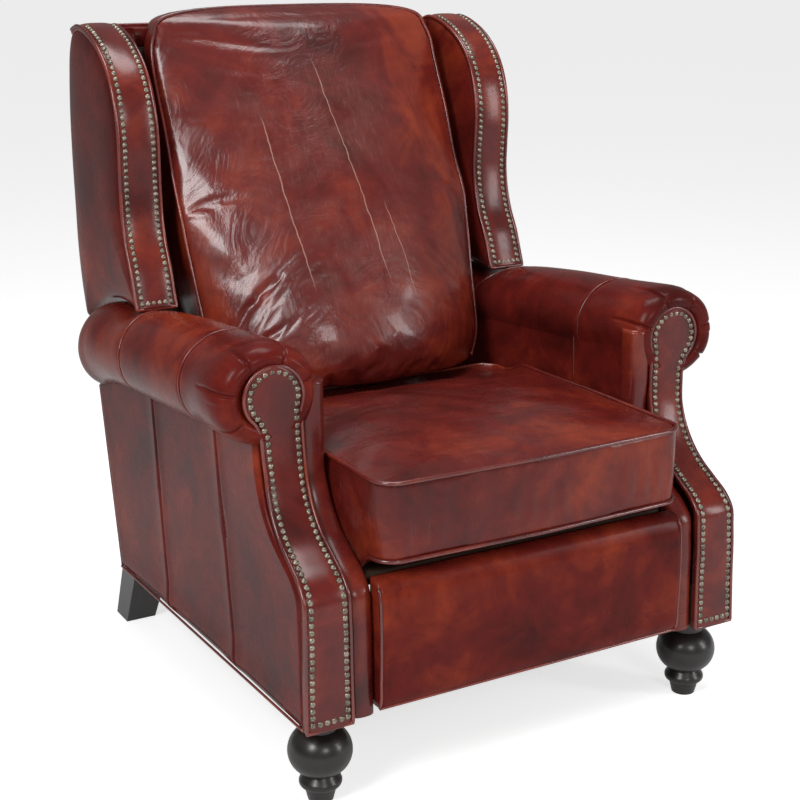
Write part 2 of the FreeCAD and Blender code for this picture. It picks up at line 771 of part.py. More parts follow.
def spring_set(name, count, span, start, along, length):
    """Zigzag springs side by side."""
    springs = []
    for number in range(count):
        x = span * ((number + 0.5) / count - 0.5)
        springs.append(zigzag(start + Vector(x, 0, 0), along, length))
    solid(name, Part.makeCompound(springs))


def springs():
    """Zigzag springs under the seat deck and behind the back cushion."""
    wire = value("spring_wire")
    gap = value("contact")
    front = value("seat_rail_front + rail_thick") + gap
    length = value("seat_rail_rear - rail_thick") - gap - front
    level = value("seat_rail_high") - wire - gap
    spring_set("seat_springs", int(value("seat_springs")), 2 * value(RAIL_IN),
               at(front, level), DEEP, length)
    low = value("back_rail_low + back_rail_tall") + gap
    high = value("post_top") - gap
    foot = at(back_plane(low) + 8, low)
    head = at(back_plane(high) + 8, high)
    along = head.sub(foot)
    length = along.Length
    along.normalize()
    inner = value(FRAME_PLATE_IN) - value("play") - value("steel") - value("post_thick")
    spring_set("back_springs", int(value("back_springs")), 2 * inner, foot, along, length)


def turned_leg(side):
    """A turned bun leg: small foot, collar, ball and neck."""
    name = side_name("front_leg", side)
    body = doc.addObject("PartDesign::Body", name)
    sketch = body.newObject("Sketcher::SketchObject", f"{name}_profile")
    support = next(f for f in body.Origin.OriginFeatures if f.Role == "XZ_Plane")
    sketch.AttachmentSupport = [(support, "")]
    sketch.MapMode = "FlatFace"
    ball = value("leg_ball")
    centre = value("leg_ball_z")
    foot = value("leg_foot")
    neck = value("leg_neck")
    top = value("skirt_bottom")
    collar = value("leg_foot + 8")
    low = centre - 0.76 * ball
    high = centre + 0.72 * ball
    steps = [((0, 0), (foot - 5, 0)), ((foot - 5, 0), (foot, 20)), ((foot, 20), (collar - 2, 24)),
             ((collar - 2, 24), (collar, 30), (collar - 2, 35)), ((collar - 2, 35), (foot, low)),
             ((foot, low), (ball, centre), (neck, high)), ((neck, high), (neck, top)),
             ((neck, top), (0, top)), ((0, top), (0, 0))]
    for step in steps:
        spots = [Vector(u, v, 0) for u, v in step]
        curve = Part.LineSegment(*spots) if len(spots) == 2 else Part.Arc(*spots)
        sketch.addGeometry(curve, False)
    turn = body.newObject("PartDesign::Revolution", f"{name}_turning")
    turn.Profile = sketch
    turn.ReferenceAxis = (sketch, ["V_Axis"])
    turn.Angle = 360
    sketch.Visibility = False
    place(body, (f"{side[1]} * leg_x", "front_plane + leg_setback", "0"))
    keep(body, name)


def rear_leg(side):
    """A plain tapered rear leg that rakes backwards."""
    wide = value("rear_leg_wide") / 2
    deep = value("rear_leg_deep") / 2

    def ring(setback, height, share):
        corners = [at(setback + v * deep * share, height, value("rear_leg_x") + u * wide * share)
                   for u, v in ((-1, -1), (1, -1), (1, 1), (-1, 1))]
        return Part.makePolygon(corners + [corners[0]])

    leg = Part.makeLoft([ring(value("rear_leg_foot"), 0, 0.86),
                         ring(value("rear_leg_top"), value("skirt_bottom") - 20, 1.0)], True, True)
    solid(side_name("rear_leg", side), mirror(leg, side[1]))


def drilled_plate(inner, low, high, spots, radius):
    """A steel plate between two corners with pin holes, on the right side."""
    steel = value("steel")
    plate = Part.makeBox(steel, high.y - low.y, high.z - low.z, Vector(inner, low.y, low.z))
    for setback, height in spots:
        plate = plate.cut(Part.makeCylinder(radius, steel, at(setback, height, inner), ACROSS))
    return plate


def frame_pieces():
    """The fixed frame: side rails, cross rails, posts and the plates that carry the links."""
    inner = "arm_inner"
    for side in SIDES:
        name = side_name("side_rail", side)
        keep(mirrored_block(name, side[1],
                            (inner, "front_plane + side_rail_front", "side_rail_low"),
                            (f"{inner} + rail_thick", "front_plane + arm_rear_foot - 8",
                             "side_rail_high")), name)
    arm_posts()
    leg_blocks()
    plate_in = value(FRAME_PLATE_IN)
    low = value("cross_rail_high + 2")
    height = value("swing_height")
    spots = [value("swing_front"), value("swing_rear")]
    pair("link_plates", drilled_plate(plate_in, at(spots[0] - 26, low),
                                      at(spots[1] + 26, height + 22),
                                      [(spot, height) for spot in spots], value("pin")))
    pivot = value("pivot_setback")
    height = value("pivot_height")
    pair("back_hinge_plates", drilled_plate(plate_in, at(pivot - 26, low),
                                            at(pivot + 26, height + 22),
                                            [(pivot, height)], value("pin")))
    for name, setback in (("front_cross_rail", "front_cross"), ("rear_cross_rail", "rear_cross")):
        keep(block(name, (f"-{inner}", f"front_plane + {setback}", "side_rail_low"),
                   (inner, f"front_plane + {setback} + rail_thick", "cross_rail_high")), name)


def arm_upholstery():
    roll = roll_shape()
    pillar = arm_pillar_shape()
    inside = inside_arm_shape(roll, pillar)
    for side in SIDES:
        sign = side[1]
        arm_facing(side)
        arm_nails(side)
        solid(side_name("arm_roll", side), mirror(roll, sign))
        solid(side_name("outside_arm", side), mirror(outside_arm_shape(roll), sign))
        solid(side_name("inside_arm", side), mirror(inside, sign))
        solid(side_name("arm_front_roll", side), mirror(pillar, sign))


def seat_pieces():
    """The seat carriage that swings on four links."""
    for side in SIDES:
        sign = side[1]
        name = side_name("seat_rail", side)
        rail = mirrored_block(f"{name}_wood", sign,
                              (RAIL_IN, "front_plane + seat_rail_front", "seat_rail_low"),
                              (RAIL_OUT, "front_plane + seat_rail_rear", "seat_rail_high"))
        hole = side_rod(f"{name}_hole", sign, RAIL_IN, "rail_thick", "lift_setback",
                        "lift_height", "pin")
        keep(drilled(name, rail, [hole]), name)
    low = value("swing_height") - SWING_DOWN
    spots = [value("swing_front") + SWING_BACK, value("swing_rear") + SWING_BACK]
    pair("seat_plates", drilled_plate(value(RAIL_OUT), at(spots[0] - 22, low - 16),
                                      at(spots[1] + 22, value("seat_rail_high") - 12),
                                      [(spot, low) for spot in spots], value("pin")))
    keep(block("seat_front_rail",
               (f"-{RAIL_IN}", "front_plane + seat_rail_front", "seat_rail_high - rail_thick"),
               (RAIL_IN, "front_plane + seat_rail_front + rail_thick", "seat_rail_high")),
         "seat_front_rail")
    keep(block("seat_rear_rail",
               (f"-{RAIL_IN}", "front_plane + seat_rail_rear - rail_thick",
                "seat_rail_high - 2 * rail_thick"),
               (RAIL_IN, "front_plane + seat_rail_rear", "seat_rail_high")), "seat_rear_rail")
    keep(block("seat_deck", (f"-{RAIL_OUT} + 6", "front_plane + deck_front", "seat_rail_high"),
               (f"{RAIL_OUT} - 6", "front_plane + seat_tail", "seat_rail_high + deck_thick")),
         "seat_deck")
    seat_cushion()


def swing_links():
    """The four hanging links that carry the seat, with a tube across the rear pair."""
    for name, setback in (("front_swing_links", "swing_front"), ("rear_swing_links", "swing_rear")):
        pair(name, link(LINK_IN, value(setback), value("swing_height"), value("swing_lean"),
                        "swing_reach"))
    low = value("swing_height") - SWING_DOWN
    pins("frame_link_pins", LINK_IN + " - 0.5", "2 * steel + play + 0.5",
         [(value("swing_front"), value("swing_height")), (value("swing_rear"), value("swing_height"))])
    pins("seat_link_pins", RAIL_OUT, "2 * steel + play + 0.5",
         [(value("swing_front") + SWING_BACK, low), (value("swing_rear") + SWING_BACK, low)])
    pins("back_pivot_pins", LINK_IN + " - 0.5", "2 * steel + play + 0.5",
         [(value("pivot_setback"), value("pivot_height"))])


def leg_rest():
    """The leg rest: padded board, brackets and a pair of folding links on each side."""
    step = "(steel + play)"
    first = f"({RAIL_IN} - {step})"
    second = f"({RAIL_IN} - 2 * {step})"
    third = f"({RAIL_IN} - 3 * {step})"
    knee = LINK_KNEE
    spot = value("board_pivot")
    height = value("lift_height")
    pair("legrest_rear_links", link(first, value("lift_setback"), height, -LIFT_ANGLE,
                                    "lift_reach"))
    pair("legrest_front_links", link(second, spot, height, LIFT_ANGLE, "lift_reach"))
    back = value("rest_face + rest_pad + rest_board")
    plate = polygon_face([at(back, height - 34), at(spot + 6, height - 14), at(spot + 13, height),
                          at(spot + 6, height + 14), at(back, height + 34)])
    plate = plate.extrude(Vector(value("steel"), 0, 0))
    plate = plate.cut(Part.makeCylinder(value("pin"), value("steel"), at(spot, height), ACROSS))
    plate.translate(Vector(value(third), 0, 0))
    pair("legrest_brackets", plate)
    middle = at((value("lift_setback") + knee[0]) / 2, (height + knee[1]) / 2, -value(first))
    solid("legrest_cross_tube", Part.makeCylinder(value("tube"), 2 * value(first), middle, ACROSS))
    pins("legrest_seat_pins", first, f"{step} + rail_thick",
         [(value("lift_setback"), value("lift_height"))])
    pins("legrest_knee_pins", second, f"{step} + steel", [knee])
    pins("legrest_board_pins", third, f"{step} + steel",
         [(value("board_pivot"), value("lift_height"))])
    inner = "(rest_half - 12)"
    back = "front_plane + rest_face + rest_pad"
    keep(block("legrest_board", (f"-{inner}", back, "rest_low + 8"),
               (inner, f"{back} + rest_board", "rest_high - 14")), "legrest_board")
    face = value("rest_face")
    deep = face + value("rest_pad")
    low = value("rest_low")
    top = value("rest_high")
    edge = chain([(at(deep, low), at(face + 6, low)),
                  (at(face + 6, low), at(face + 2, low + 2), at(face, low + 6)),
                  (at(face, low + 6), at(face - 3, (low + top) / 2), at(face + 3, top - 16)),
                  (at(face + 3, top - 16), at(face + 10, top - 4), at(face + 22, top)),
                  (at(face + 22, top), at(deep, top)), (at(deep, top), at(deep, low))])
    pad = Part.Face(edge).extrude(Vector(2 * value("rest_half"), 0, 0))
    pad.translate(Vector(-value("rest_half"), 0, 0))
    solid("legrest_pad", pad)


def back_pieces():
    """The reclining back: posts, rails, wings, outside panel and cushion."""
    wing = wing_shape()
    for side in SIDES:
        solid(side_name("wing", side), mirror(wing, side[1]))
        wing_facing(side)
    back_frame()
    outside_back()
    back_cushion()


def build():
    for side in SIDES:
        turned_leg(side)
        rear_leg(side)
    frame_pieces()
    arm_upholstery()
    seat_pieces()
    swing_links()
    leg_rest()
    back_pieces()
    springs()


build()
doc.recompute()

for item in doc.Objects:
    if "Invalid" in item.State or "Error" in item.State:
        raise RuntimeError(f"{item.Name} failed: {item.State}")
for item in NODES:
    if item.Shape.isNull() or not item.Shape.isValid():
        raise RuntimeError(f"{item.Label} has no valid shape")

os.makedirs("parts", exist_ok=True)
for item in NODES:
    item.Shape.exportStep(f"parts/{item.Label}.step")
print(len(NODES), "nodes written")
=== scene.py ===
import json
import math

import bpy
import numpy as np
from bpy.props import FloatProperty, FloatVectorProperty, IntProperty, PointerProperty
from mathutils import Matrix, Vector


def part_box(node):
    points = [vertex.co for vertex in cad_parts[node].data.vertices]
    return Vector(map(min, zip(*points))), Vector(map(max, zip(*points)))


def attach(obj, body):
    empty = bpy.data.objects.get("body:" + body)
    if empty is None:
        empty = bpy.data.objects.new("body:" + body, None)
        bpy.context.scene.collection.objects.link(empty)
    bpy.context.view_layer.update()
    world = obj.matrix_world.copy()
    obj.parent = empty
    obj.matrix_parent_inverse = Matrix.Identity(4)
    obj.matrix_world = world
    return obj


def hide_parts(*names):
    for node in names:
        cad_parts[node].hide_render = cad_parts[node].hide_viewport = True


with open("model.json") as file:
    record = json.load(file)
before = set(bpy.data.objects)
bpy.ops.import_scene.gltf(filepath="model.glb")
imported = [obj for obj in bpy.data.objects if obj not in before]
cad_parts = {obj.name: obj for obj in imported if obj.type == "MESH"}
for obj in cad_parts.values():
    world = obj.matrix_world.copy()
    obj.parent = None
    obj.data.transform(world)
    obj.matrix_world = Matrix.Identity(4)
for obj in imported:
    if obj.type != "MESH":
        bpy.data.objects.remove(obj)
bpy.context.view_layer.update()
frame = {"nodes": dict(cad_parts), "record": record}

bl_info = {
    "name": "Wingback recliner",
    "version": (1, 0, 0),
    "blender": (4, 5, 0),
    "location": "View3D > Sidebar > Recliner",
    "description": "Dresses the recliner's frame in leather, welts, nail heads and turned legs",
    "category": "Object",
}

SIDES = (("L", -1.0), ("R", 1.0))
MM = 0.001
FRONT = -0.455
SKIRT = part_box("arm_facing_R")[0].z


def smooth(low, high, value):
    """Smooth step from 0 at low to 1 at high."""
    share = np.clip((value - low) / (high - low), 0.0, 1.0)
    return share * share * (3 - 2 * share)


def run_along(line):
    """The running length at each point of a line, from 0."""
    return np.r_[0, np.cumsum(np.linalg.norm(np.diff(line, axis=0), axis=1))]


def curve(points, share):
    """A smooth curve through points, read at shares 0..1 of its chord length (cubic by nodes)."""
    points = np.asarray(points, float)
    chord = run_along(points)
    chord /= chord[-1]
    slope = np.gradient(points, chord, axis=0)
    index = np.clip(np.searchsorted(chord, share, side="right") - 1, 0, len(points) - 2)
    span = (chord[index + 1] - chord[index])[:, None]
    local = ((share - chord[index])[:, None]) / span
    start, end = points[index], points[index + 1]
    lead, trail = slope[index] * span, slope[index + 1] * span
    return ((2 * local ** 3 - 3 * local ** 2 + 1) * start + (local ** 3 - 2 * local ** 2 + local) * lead
            + (3 * local ** 2 - 2 * local ** 3) * end + (local ** 3 - local ** 2) * trail)


def drawn(points, count=200):
    """The smooth curve through points, as a line of count points."""
    return curve(points, np.linspace(0, 1, count))


def read_at(spots, run, line):
    """Points of a line at given running lengths."""
    return np.stack([np.interp(spots, run, column) for column in line.T], 1)


def even(points, count):
    """Points at even steps along a line."""
    run = run_along(points)
    return read_at(np.linspace(0, run[-1], count), run, points)


def grid(x, y, z):
    """Points from three coordinates, each stretched to the shape that they share."""
    return np.stack(np.broadcast_arrays(x, y, z), -1)


def between(first, last, share):
    """Rows that run from one column of values to another."""
    return first[:, None] + (last - first)[:, None] * share


def signed_power(value, power):
    """A power that keeps its base's sign."""
    return np.sign(value) * np.abs(value) ** power


def dip(value, place, width):
    """A soft bell of height 1 about a place."""
    return np.exp(-((value - place) / width) ** 2)


def slabs(outline, middle, rings):
    """Upright rings side by side: for each (x, share) the outline, shrunk about its middle."""
    shapes = [(x, middle + (outline - middle) * share) for x, share in rings]
    return np.array([grid(x, FRONT + shape[:, 0], shape[:, 1]) for x, shape in shapes])


def flip(points, sign):
    """The right side's points, mirrored for the left side."""
    return points * np.array([sign, 1.0, 1.0])


def read_points(mesh):
    """A mesh's points, one row each."""
    points = np.empty(len(mesh.vertices) * 3)
    mesh.vertices.foreach_get("co", points)
    return points.reshape(-1, 3)


def move_points(mesh, points):
    """Puts a mesh's points where the rows say."""
    mesh.vertices.foreach_set("co", points.ravel())
    mesh.update()


def new_mesh(name, points, faces, body, finish, nodes=()):
    """A finished piece: its mesh in place, smooth shaded, riding on its body."""
    mesh = bpy.data.meshes.new(name)
    mesh.from_pydata(points.tolist(), [], faces)
    mesh.polygons.foreach_set("use_smooth", [True] * len(mesh.polygons))
    mesh.validate()
    piece = bpy.data.objects.new(name, mesh)
    bpy.context.scene.collection.objects.link(piece)
    piece.data.materials.append(MATERIALS[finish])
    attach(piece, body)
    if nodes:
        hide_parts(*nodes)
    return piece


def ring_faces(rows, ring, base=0, closed=False):
    """Quads between neighbouring rings of a grid; each ring is closed on itself."""
    row = np.arange(rows if closed else rows - 1)[:, None]
    col = np.arange(ring)[None, :]
    after = (row + 1) % rows
    beside = (col + 1) % ring
    quads = np.stack([row * ring + col, row * ring + beside, after * ring + beside,
                      after * ring + col], -1)
    return (quads.reshape(-1, 4) + base).tolist()


def loft(name, rings, body, finish, nodes=()):
    """A closed skin over rings (rows, ring, 3), with a fan of triangles on both ends."""
    rows, ring = rings.shape[:2]
    points = np.vstack([rings.reshape(-1, 3), rings[0].mean(0), rings[-1].mean(0)])
    start, end = rows * ring, rows * ring + 1
    base = (rows - 1) * ring
    faces = ring_faces(rows, ring)
    faces += [[(n + 1) % ring, n, start] for n in range(ring)]
    faces += [[base + n, base + (n + 1) % ring, end] for n in range(ring)]
    piece = new_mesh(name, points, faces, body, finish, nodes)
    outward(piece.data)
    return piece


def outward(mesh):
    """Turns the faces of a closed mesh outwards, by the sign of its volume."""
    mesh.calc_loop_triangles()
    tris = np.empty(len(mesh.loop_triangles) * 3, int)
    mesh.loop_triangles.foreach_get("vertices", tris)
    a, b, c = read_points(mesh)[tris.reshape(-1, 3).T]
    if np.einsum("ij,ij->i", a, np.cross(b, c)).sum() < 0:
        mesh.flip_normals()


def tube(path, radius, closed=False, sides=8):
    """Rings of a round cord along a path, turned without twist about its running direction."""
    if closed:
        ahead = np.roll(path, -1, 0) - np.roll(path, 1, 0)
    else:
        ahead = np.gradient(path, axis=0)
    ahead /= np.linalg.norm(ahead, axis=1)[:, None]
    guide = np.zeros_like(path)
    guide[0] = np.cross(ahead[0], [0.37, 0.21, 0.91])
    guide[0] /= np.linalg.norm(guide[0])
    for n in range(1, len(path)):
        carried = guide[n - 1] - ahead[n] * (guide[n - 1] @ ahead[n])
        guide[n] = carried / np.linalg.norm(carried)
    turn = np.zeros(len(path))
    if closed:
        twist = math.atan2(np.cross(guide[-1], guide[0]) @ ahead[0], guide[-1] @ guide[0])
        turn = twist * np.arange(len(path)) / len(path)
    other = np.cross(ahead, guide)
    angle = np.linspace(0, 2 * np.pi, sides, endpoint=False) + turn[:, None]
    return path[:, None, :] + radius * (np.cos(angle)[..., None] * guide[:, None, :]
                                        + np.sin(angle)[..., None] * other[:, None, :])


def welts(name, paths, radius, body, closed=False):
    """Piping: round leather-covered cords along paths."""
    points, faces, base = [], [], 0
    for path in paths:
        rings = tube(path, radius, closed)
        rows, ring = rings.shape[:2]
        points.append(rings.reshape(-1, 3))
        faces += ring_faces(rows, ring, base, closed)
        if not closed:
            faces += [[base + n for n in range(ring)][::-1],
                      [base + (rows - 1) * ring + n for n in range(ring)]]
        base += rows * ring
    outward(new_mesh(name, np.vstack(points), faces, body, "welt").data)


class Value:
    """A shader socket that can be used in arithmetic; every operation adds its Math node."""

    def __init__(self, tree, socket):
        self.tree = tree
        self.socket = socket

    def math(self, operation, other=None, swap=False):
        """This value and another, through one Math node."""
        first, second = (other, self) if swap else (self, other)
        sockets = {0: first} if second is None else {0: first, 1: second}
        return self.tree.node("ShaderNodeMath", {"operation": operation}, sockets)

    def __add__(self, other):
        return self.math("ADD", other)

    def __radd__(self, other):
        return self.math("ADD", other, True)

    def __sub__(self, other):
        return self.math("SUBTRACT", other)

    def __rsub__(self, other):
        return self.math("SUBTRACT", other, True)

    def __mul__(self, other):
        return self.math("MULTIPLY", other)

    def clamp(self):
        """The value kept between 0 and 1."""
        return self.tree.node("ShaderNodeMath", {"operation": "ADD", "use_clamp": True},
                              {0: self, 1: 0.0})


class Tree:
    """A material's node tree, with one method that adds any node."""

    def __init__(self, name):
        self.material = bpy.data.materials.new(name)
        self.material.use_nodes = True
        self.tree = self.material.node_tree
        self.tree.nodes.clear()
        self.output = self.tree.nodes.new("ShaderNodeOutputMaterial")

    def node(self, kind, settings=None, sockets=None, out=0):
        """Adds a node, sets its settings, then its sockets from numbers, tuples or Values."""
        made = self.tree.nodes.new(kind)
        for key, setting in (settings or {}).items():
            if key == "stops":
                self.stops(made, setting)
            else:
                setattr(made, key, setting)
        for key, given in (sockets or {}).items():
            socket = made.inputs[key]
            if isinstance(given, Value):
                self.tree.links.new(given.socket, socket)
            elif hasattr(socket.default_value, "__len__"):
                size = len(socket.default_value)
                socket.default_value = (tuple(given) + (1.0,) * size)[:size]
            else:
                socket.default_value = given
        return Value(self, made.outputs[out])

    @staticmethod
    def stops(ramp, stops):
        """Sets a colour ramp's places and colours."""
        elements = ramp.color_ramp.elements
        while len(elements) < len(stops):
            elements.new(0.5)
        for element, (place, colour) in zip(elements, stops):
            element.position = place
            element.color = tuple(colour) + (1.0,) * (4 - len(colour))

    def place(self, scale=(1, 1, 1), turn=(0, 0, 0), shift=(0, 0, 0)):
        """Object coordinates, stretched, turned and shifted."""
        coordinates = self.node("ShaderNodeTexCoord", out=3)
        return self.node("ShaderNodeMapping", {}, {"Vector": coordinates, "Scale": scale,
                                                   "Rotation": turn, "Location": shift})

    def across_and_up(self):
        """The x and the z of the Object coordinates."""
        split = self.node("ShaderNodeSeparateXYZ", {}, {0: self.node("ShaderNodeTexCoord", out=3)})
        return split, Value(self, split.socket.node.outputs[2])

    def noise(self, where, scale, detail=4.0, rough=0.55, warp=0.0):
        """Cloudy noise at a scale."""
        return self.node("ShaderNodeTexNoise", {"noise_dimensions": "3D"},
                         {"Vector": where, "Scale": scale, "Detail": detail, "Roughness": rough,
                          "Distortion": warp})

    def strokes(self, scale, turn, rough, low, high):
        """Long brushed marks: a stretched noise, cut between two values."""
        return self.step(self.noise(self.place(scale, turn), 1.0, 6.0, rough), low, high)

    def ramp(self, factor, stops):
        """A colour ramp over (place, colour) stops."""
        return self.node("ShaderNodeValToRGB", {"stops": stops}, {0: factor})

    def step(self, factor, low, high):
        """A smooth step between two values."""
        return self.node("ShaderNodeMapRange", {"interpolation_type": "SMOOTHSTEP"},
                         {"Value": factor, "From Min": low, "From Max": high})

    def mix(self, factor, first, second):
        """A colour mix."""
        node = self.tree.nodes.new("ShaderNodeMix")
        node.data_type = "RGBA"
        for index, given in ((0, factor), (6, first), (7, second)):
            if isinstance(given, Value):
                self.tree.links.new(given.socket, node.inputs[index])
            elif index:
                node.inputs[index].default_value = tuple(given)[:3] + (1.0,)
            else:
                node.inputs[index].default_value = given
        return Value(self, node.outputs[2])

    def bump(self, height, strength, distance, normal=None):
        """A normal from a height, over another normal where one is given."""
        sockets = {"Height": height, "Strength": strength, "Distance": distance}
        if normal:
            sockets["Normal"] = normal
        return self.node("ShaderNodeBump", {}, sockets)

    def finish(self, sockets):
        """The material, with its surface shader's sockets set."""
        shader = self.node("ShaderNodeBsdfPrincipled", {}, sockets)
        self.tree.links.new(shader.socket, self.output.inputs["Surface"])
        return self.material


def dye(tree, where, tones, cloud, patch_scale, fine_scale, share, stops):
    """Cloudy dye in three tones; gives its colour, its patches and its fine grain."""
    patch = tree.noise(where, patch_scale, 6.0, 0.62, 0.9)
    fine = tree.noise(where, fine_scale, 5.0, 0.6)
    factor = tree.noise(where, *cloud) * share + patch * (1 - share)
    colours = [tones[key] for key in ("shade", "body", "glow")]
    return tree.ramp(factor, list(zip(stops, colours))), patch, fine


def leather(name, tones, seed, gloss, wear=0.0, creases=0.0):
    """Hand-rubbed leather: cloudy dye, darker hollows, fine pebble, rubs and soft creases."""
    tree = Tree(name)
    where = tree.place(shift=seed)
    colour, patch, fine = dye(tree, where, tones, (3.4, 5.0, 0.58, 0.6), 9.0, 55.0, 0.62,
                              (0.36, 0.5, 0.63))
    colour = tree.mix((tree.step(fine, 0.45, 0.75) * 0.35).clamp(), colour, tones["shade"])
    rough = 0.16 + patch * 0.16 + fine * 0.06
    if wear:
        rub_and_sheen = tree.step(tree.noise(where, 5.0, 6.0, 0.7, 0.4), 0.52, 0.70)
        mask = (rub_and_sheen * tree.strokes((170, 26, 22), (0.5, 0.35, 0.3), 0.7, 0.50, 0.74) * wear).clamp()
        colour = tree.mix(mask, colour, tones["rub_and_sheen"])
        rough = rough + mask * 0.22
    pebble = tree.node("ShaderNodeTexVoronoi", {"feature": "DISTANCE_TO_EDGE"},
                       {"Vector": where, "Scale": 520.0})
    normal = tree.bump(tree.step(pebble, 0.0, 0.35) * 0.25 + fine * 0.6, 0.10, 0.0010)
    if creases:
        soft = tree.noise(tree.place((16, 30, 9), (0.2, 0.3, 0.1)), 1.0, 4.0, 0.6, 1.2)
        normal = tree.bump(soft, 0.35 * creases, 0.010, normal)
    return tree.finish({"Base Color": colour, "Roughness": rough.clamp(), "Normal": normal,
                        "IOR": gloss, "Specular IOR Level": 0.5, "Coat Weight": 0.12,
                        "Coat Roughness": 0.07, "Coat IOR": gloss})


# Long pale creases in the back cushion, seen from the front: x, z at both ends, and width.
CREASES = ((-0.010, 1.020, 0.030, 0.640, 0.0016), (-0.128, 0.93, -0.110, 0.64, 0.0016),
           (0.055, 0.78, 0.075, 0.62, 0.0012), (-0.20, 1.045, -0.11, 1.03, 0.002))


def crease_mask(tree):
    """1 on the back cushion's long creases, which wander a little and fade at their ends."""
    x, z = tree.across_and_up()
    wander = tree.noise(tree.place((30, 30, 18)), 1.0, 3.0, 0.6) - 0.5
    total = None
    for x1, z1, x2, z2, width in CREASES:
        along = (z - z1) * (1.0 / (z2 - z1))
        centre = along * (x2 - x1) + x1 + wander * 0.010
        line = 1.0 - tree.step((x - centre).math("ABSOLUTE"), 0.0, width)
        part = line * (tree.step(along, 0.0, 0.12) * (1.0 - tree.step(along, 0.85, 1.0)))
        total = part if total is None else total.math("MAXIMUM", part)
    return total


def cushion_leather(name, tones):
    """The back cushion's leather: rubbed and scratched in the middle, where the pale rubbed patch is also
    a painted highlight, with long pale creases.
    """
    tree = Tree(name)
    where = tree.place(shift=(2.3, 0.7, 1.1))
    colour, patch, fine = dye(tree, where, tones, (3.8, 5.0, 0.55, 0.7), 10.0, 60.0, 0.6,
                              (0.35, 0.5, 0.62))
    x, z = tree.across_and_up()
    # Painted highlight: a broad patch left of centre, up the middle of the cushion, is mixed towards the
    # pale rubbed tone and stands in for light on the leather. Its scratch strokes are real wear.
    middle = 1.0 - tree.step((x + 0.02).math("ABSOLUTE"), 0.06, 0.22)
    middle = middle * tree.step(z, 0.50, 0.66) * (1.0 - tree.step(z, 0.93, 1.05))
    haze = tree.step(tree.noise(where, 7.0, 6.0, 0.7, 0.5), 0.36, 0.66)
    hairs = tree.strokes((230, 40, 30), (0.35, 0.5, 0.45), 0.75, 0.50, 0.72)
    crossing = tree.strokes((200, 30, 42), (-0.2, -0.4, -0.5), 0.75, 0.53, 0.74)
    rub_and_sheen = (middle * haze * (0.30 + hairs * 0.55 + crossing * 0.35)).clamp()
    lines = crease_mask(tree)
    colour = tree.mix((rub_and_sheen * 0.62).clamp(), colour, tones["rub_and_sheen"])
    colour = tree.mix((lines * 0.75).clamp(), colour, tones["crease"])
    rough = (0.19 + patch * 0.14 + fine * 0.08 + rub_and_sheen * 0.22).clamp()
    normal = tree.bump(fine * 0.8 + hairs * middle * 0.35 + lines * 0.5, 0.15, 0.0012)
    soft = tree.noise(tree.place((11, 20, 7), (0.1, 0.25, 0.1)), 1.0, 4.0, 0.6, 1.0)
    normal = tree.bump(soft, 0.30, 0.012, normal)
    return tree.finish({"Base Color": colour, "Roughness": rough, "Normal": normal, "IOR": 1.5,
                        "Specular IOR Level": 0.42, "Coat Weight": 0.30, "Coat Roughness": 0.10,
                        "Coat IOR": 1.45})


def aged_brass(name, colour):
    """Antique brass: dark in the recesses, speckled and lightly worn."""
    tree = Tree(name)
    speck = tree.noise(tree.place(), 420.0, 3.0, 0.6)
    large = tree.noise(tree.place(), 60.0, 2.0, 0.5)
    dark = tuple(part * 0.30 for part in colour)
    mixed = tree.mix(tree.step(speck * 0.6 + large * 0.4, 0.38, 0.62), dark, colour)
    return tree.finish({"Base Color": mixed, "Metallic": 0.9, "Roughness": (0.26 + speck * 0.25).clamp(),
                        "Normal": tree.bump(speck, 0.2, 0.0006)})


def ebony(name, colour):
    """Dark stained wood under satin lacquer, with faint grain."""
    tree = Tree(name)
    grain = tree.noise(tree.place((60, 60, 8)), 1.0, 5.0, 0.6, 0.5)
    warm = tuple(part * 2.2 + 0.006 for part in colour)
    mixed = tree.mix(tree.step(grain, 0.45, 0.75) * 0.6, colour, warm)
    return tree.finish({"Base Color": mixed, "Roughness": (0.28 + grain * 0.14).clamp(),
                        "Normal": tree.bump(grain, 0.12, 0.0008), "Coat Weight": 0.25,
                        "Coat Roughness": 0.2})


def rail_wood(name, colour):
    """Plain sawn hardwood of the hidden frame."""
    tree = Tree(name)
    rings = tree.noise(tree.place((9, 2, 60)), 1.0, 6.0, 0.6, 1.5)
    dark = tuple(part * 0.62 for part in colour)
    mixed = tree.mix(tree.step(rings, 0.35, 0.68), dark, colour)
    return tree.finish({"Base Color": mixed, "Roughness": (0.55 + rings * 0.2).clamp(),
                        "Normal": tree.bump(rings, 0.2, 0.001)})


def mechanism_steel(name, colour):
    """Black enamelled mechanism steel with bright rubbed edges."""
    tree = Tree(name)
    speck = tree.noise(tree.place(), 90.0, 5.0, 0.6)
    mixed = tree.mix(tree.step(speck, 0.62, 0.78) * 0.5, colour, (0.22, 0.21, 0.20))
    return tree.finish({"Base Color": mixed, "Metallic": 0.5, "Roughness": (0.34 + speck * 0.2).clamp(),
                        "Normal": tree.bump(speck, 0.1, 0.0005)})


def spring_steel(name):
    """Oiled spring wire."""
    tree = Tree(name)
    speck = tree.noise(tree.place(), 200.0, 3.0, 0.6)
    mixed = tree.mix(speck, (0.16, 0.16, 0.17), (0.34, 0.33, 0.32))
    return tree.finish({"Base Color": mixed, "Metallic": 0.9, "Roughness": (0.3 + speck * 0.2).clamp()})


MATERIALS = {}


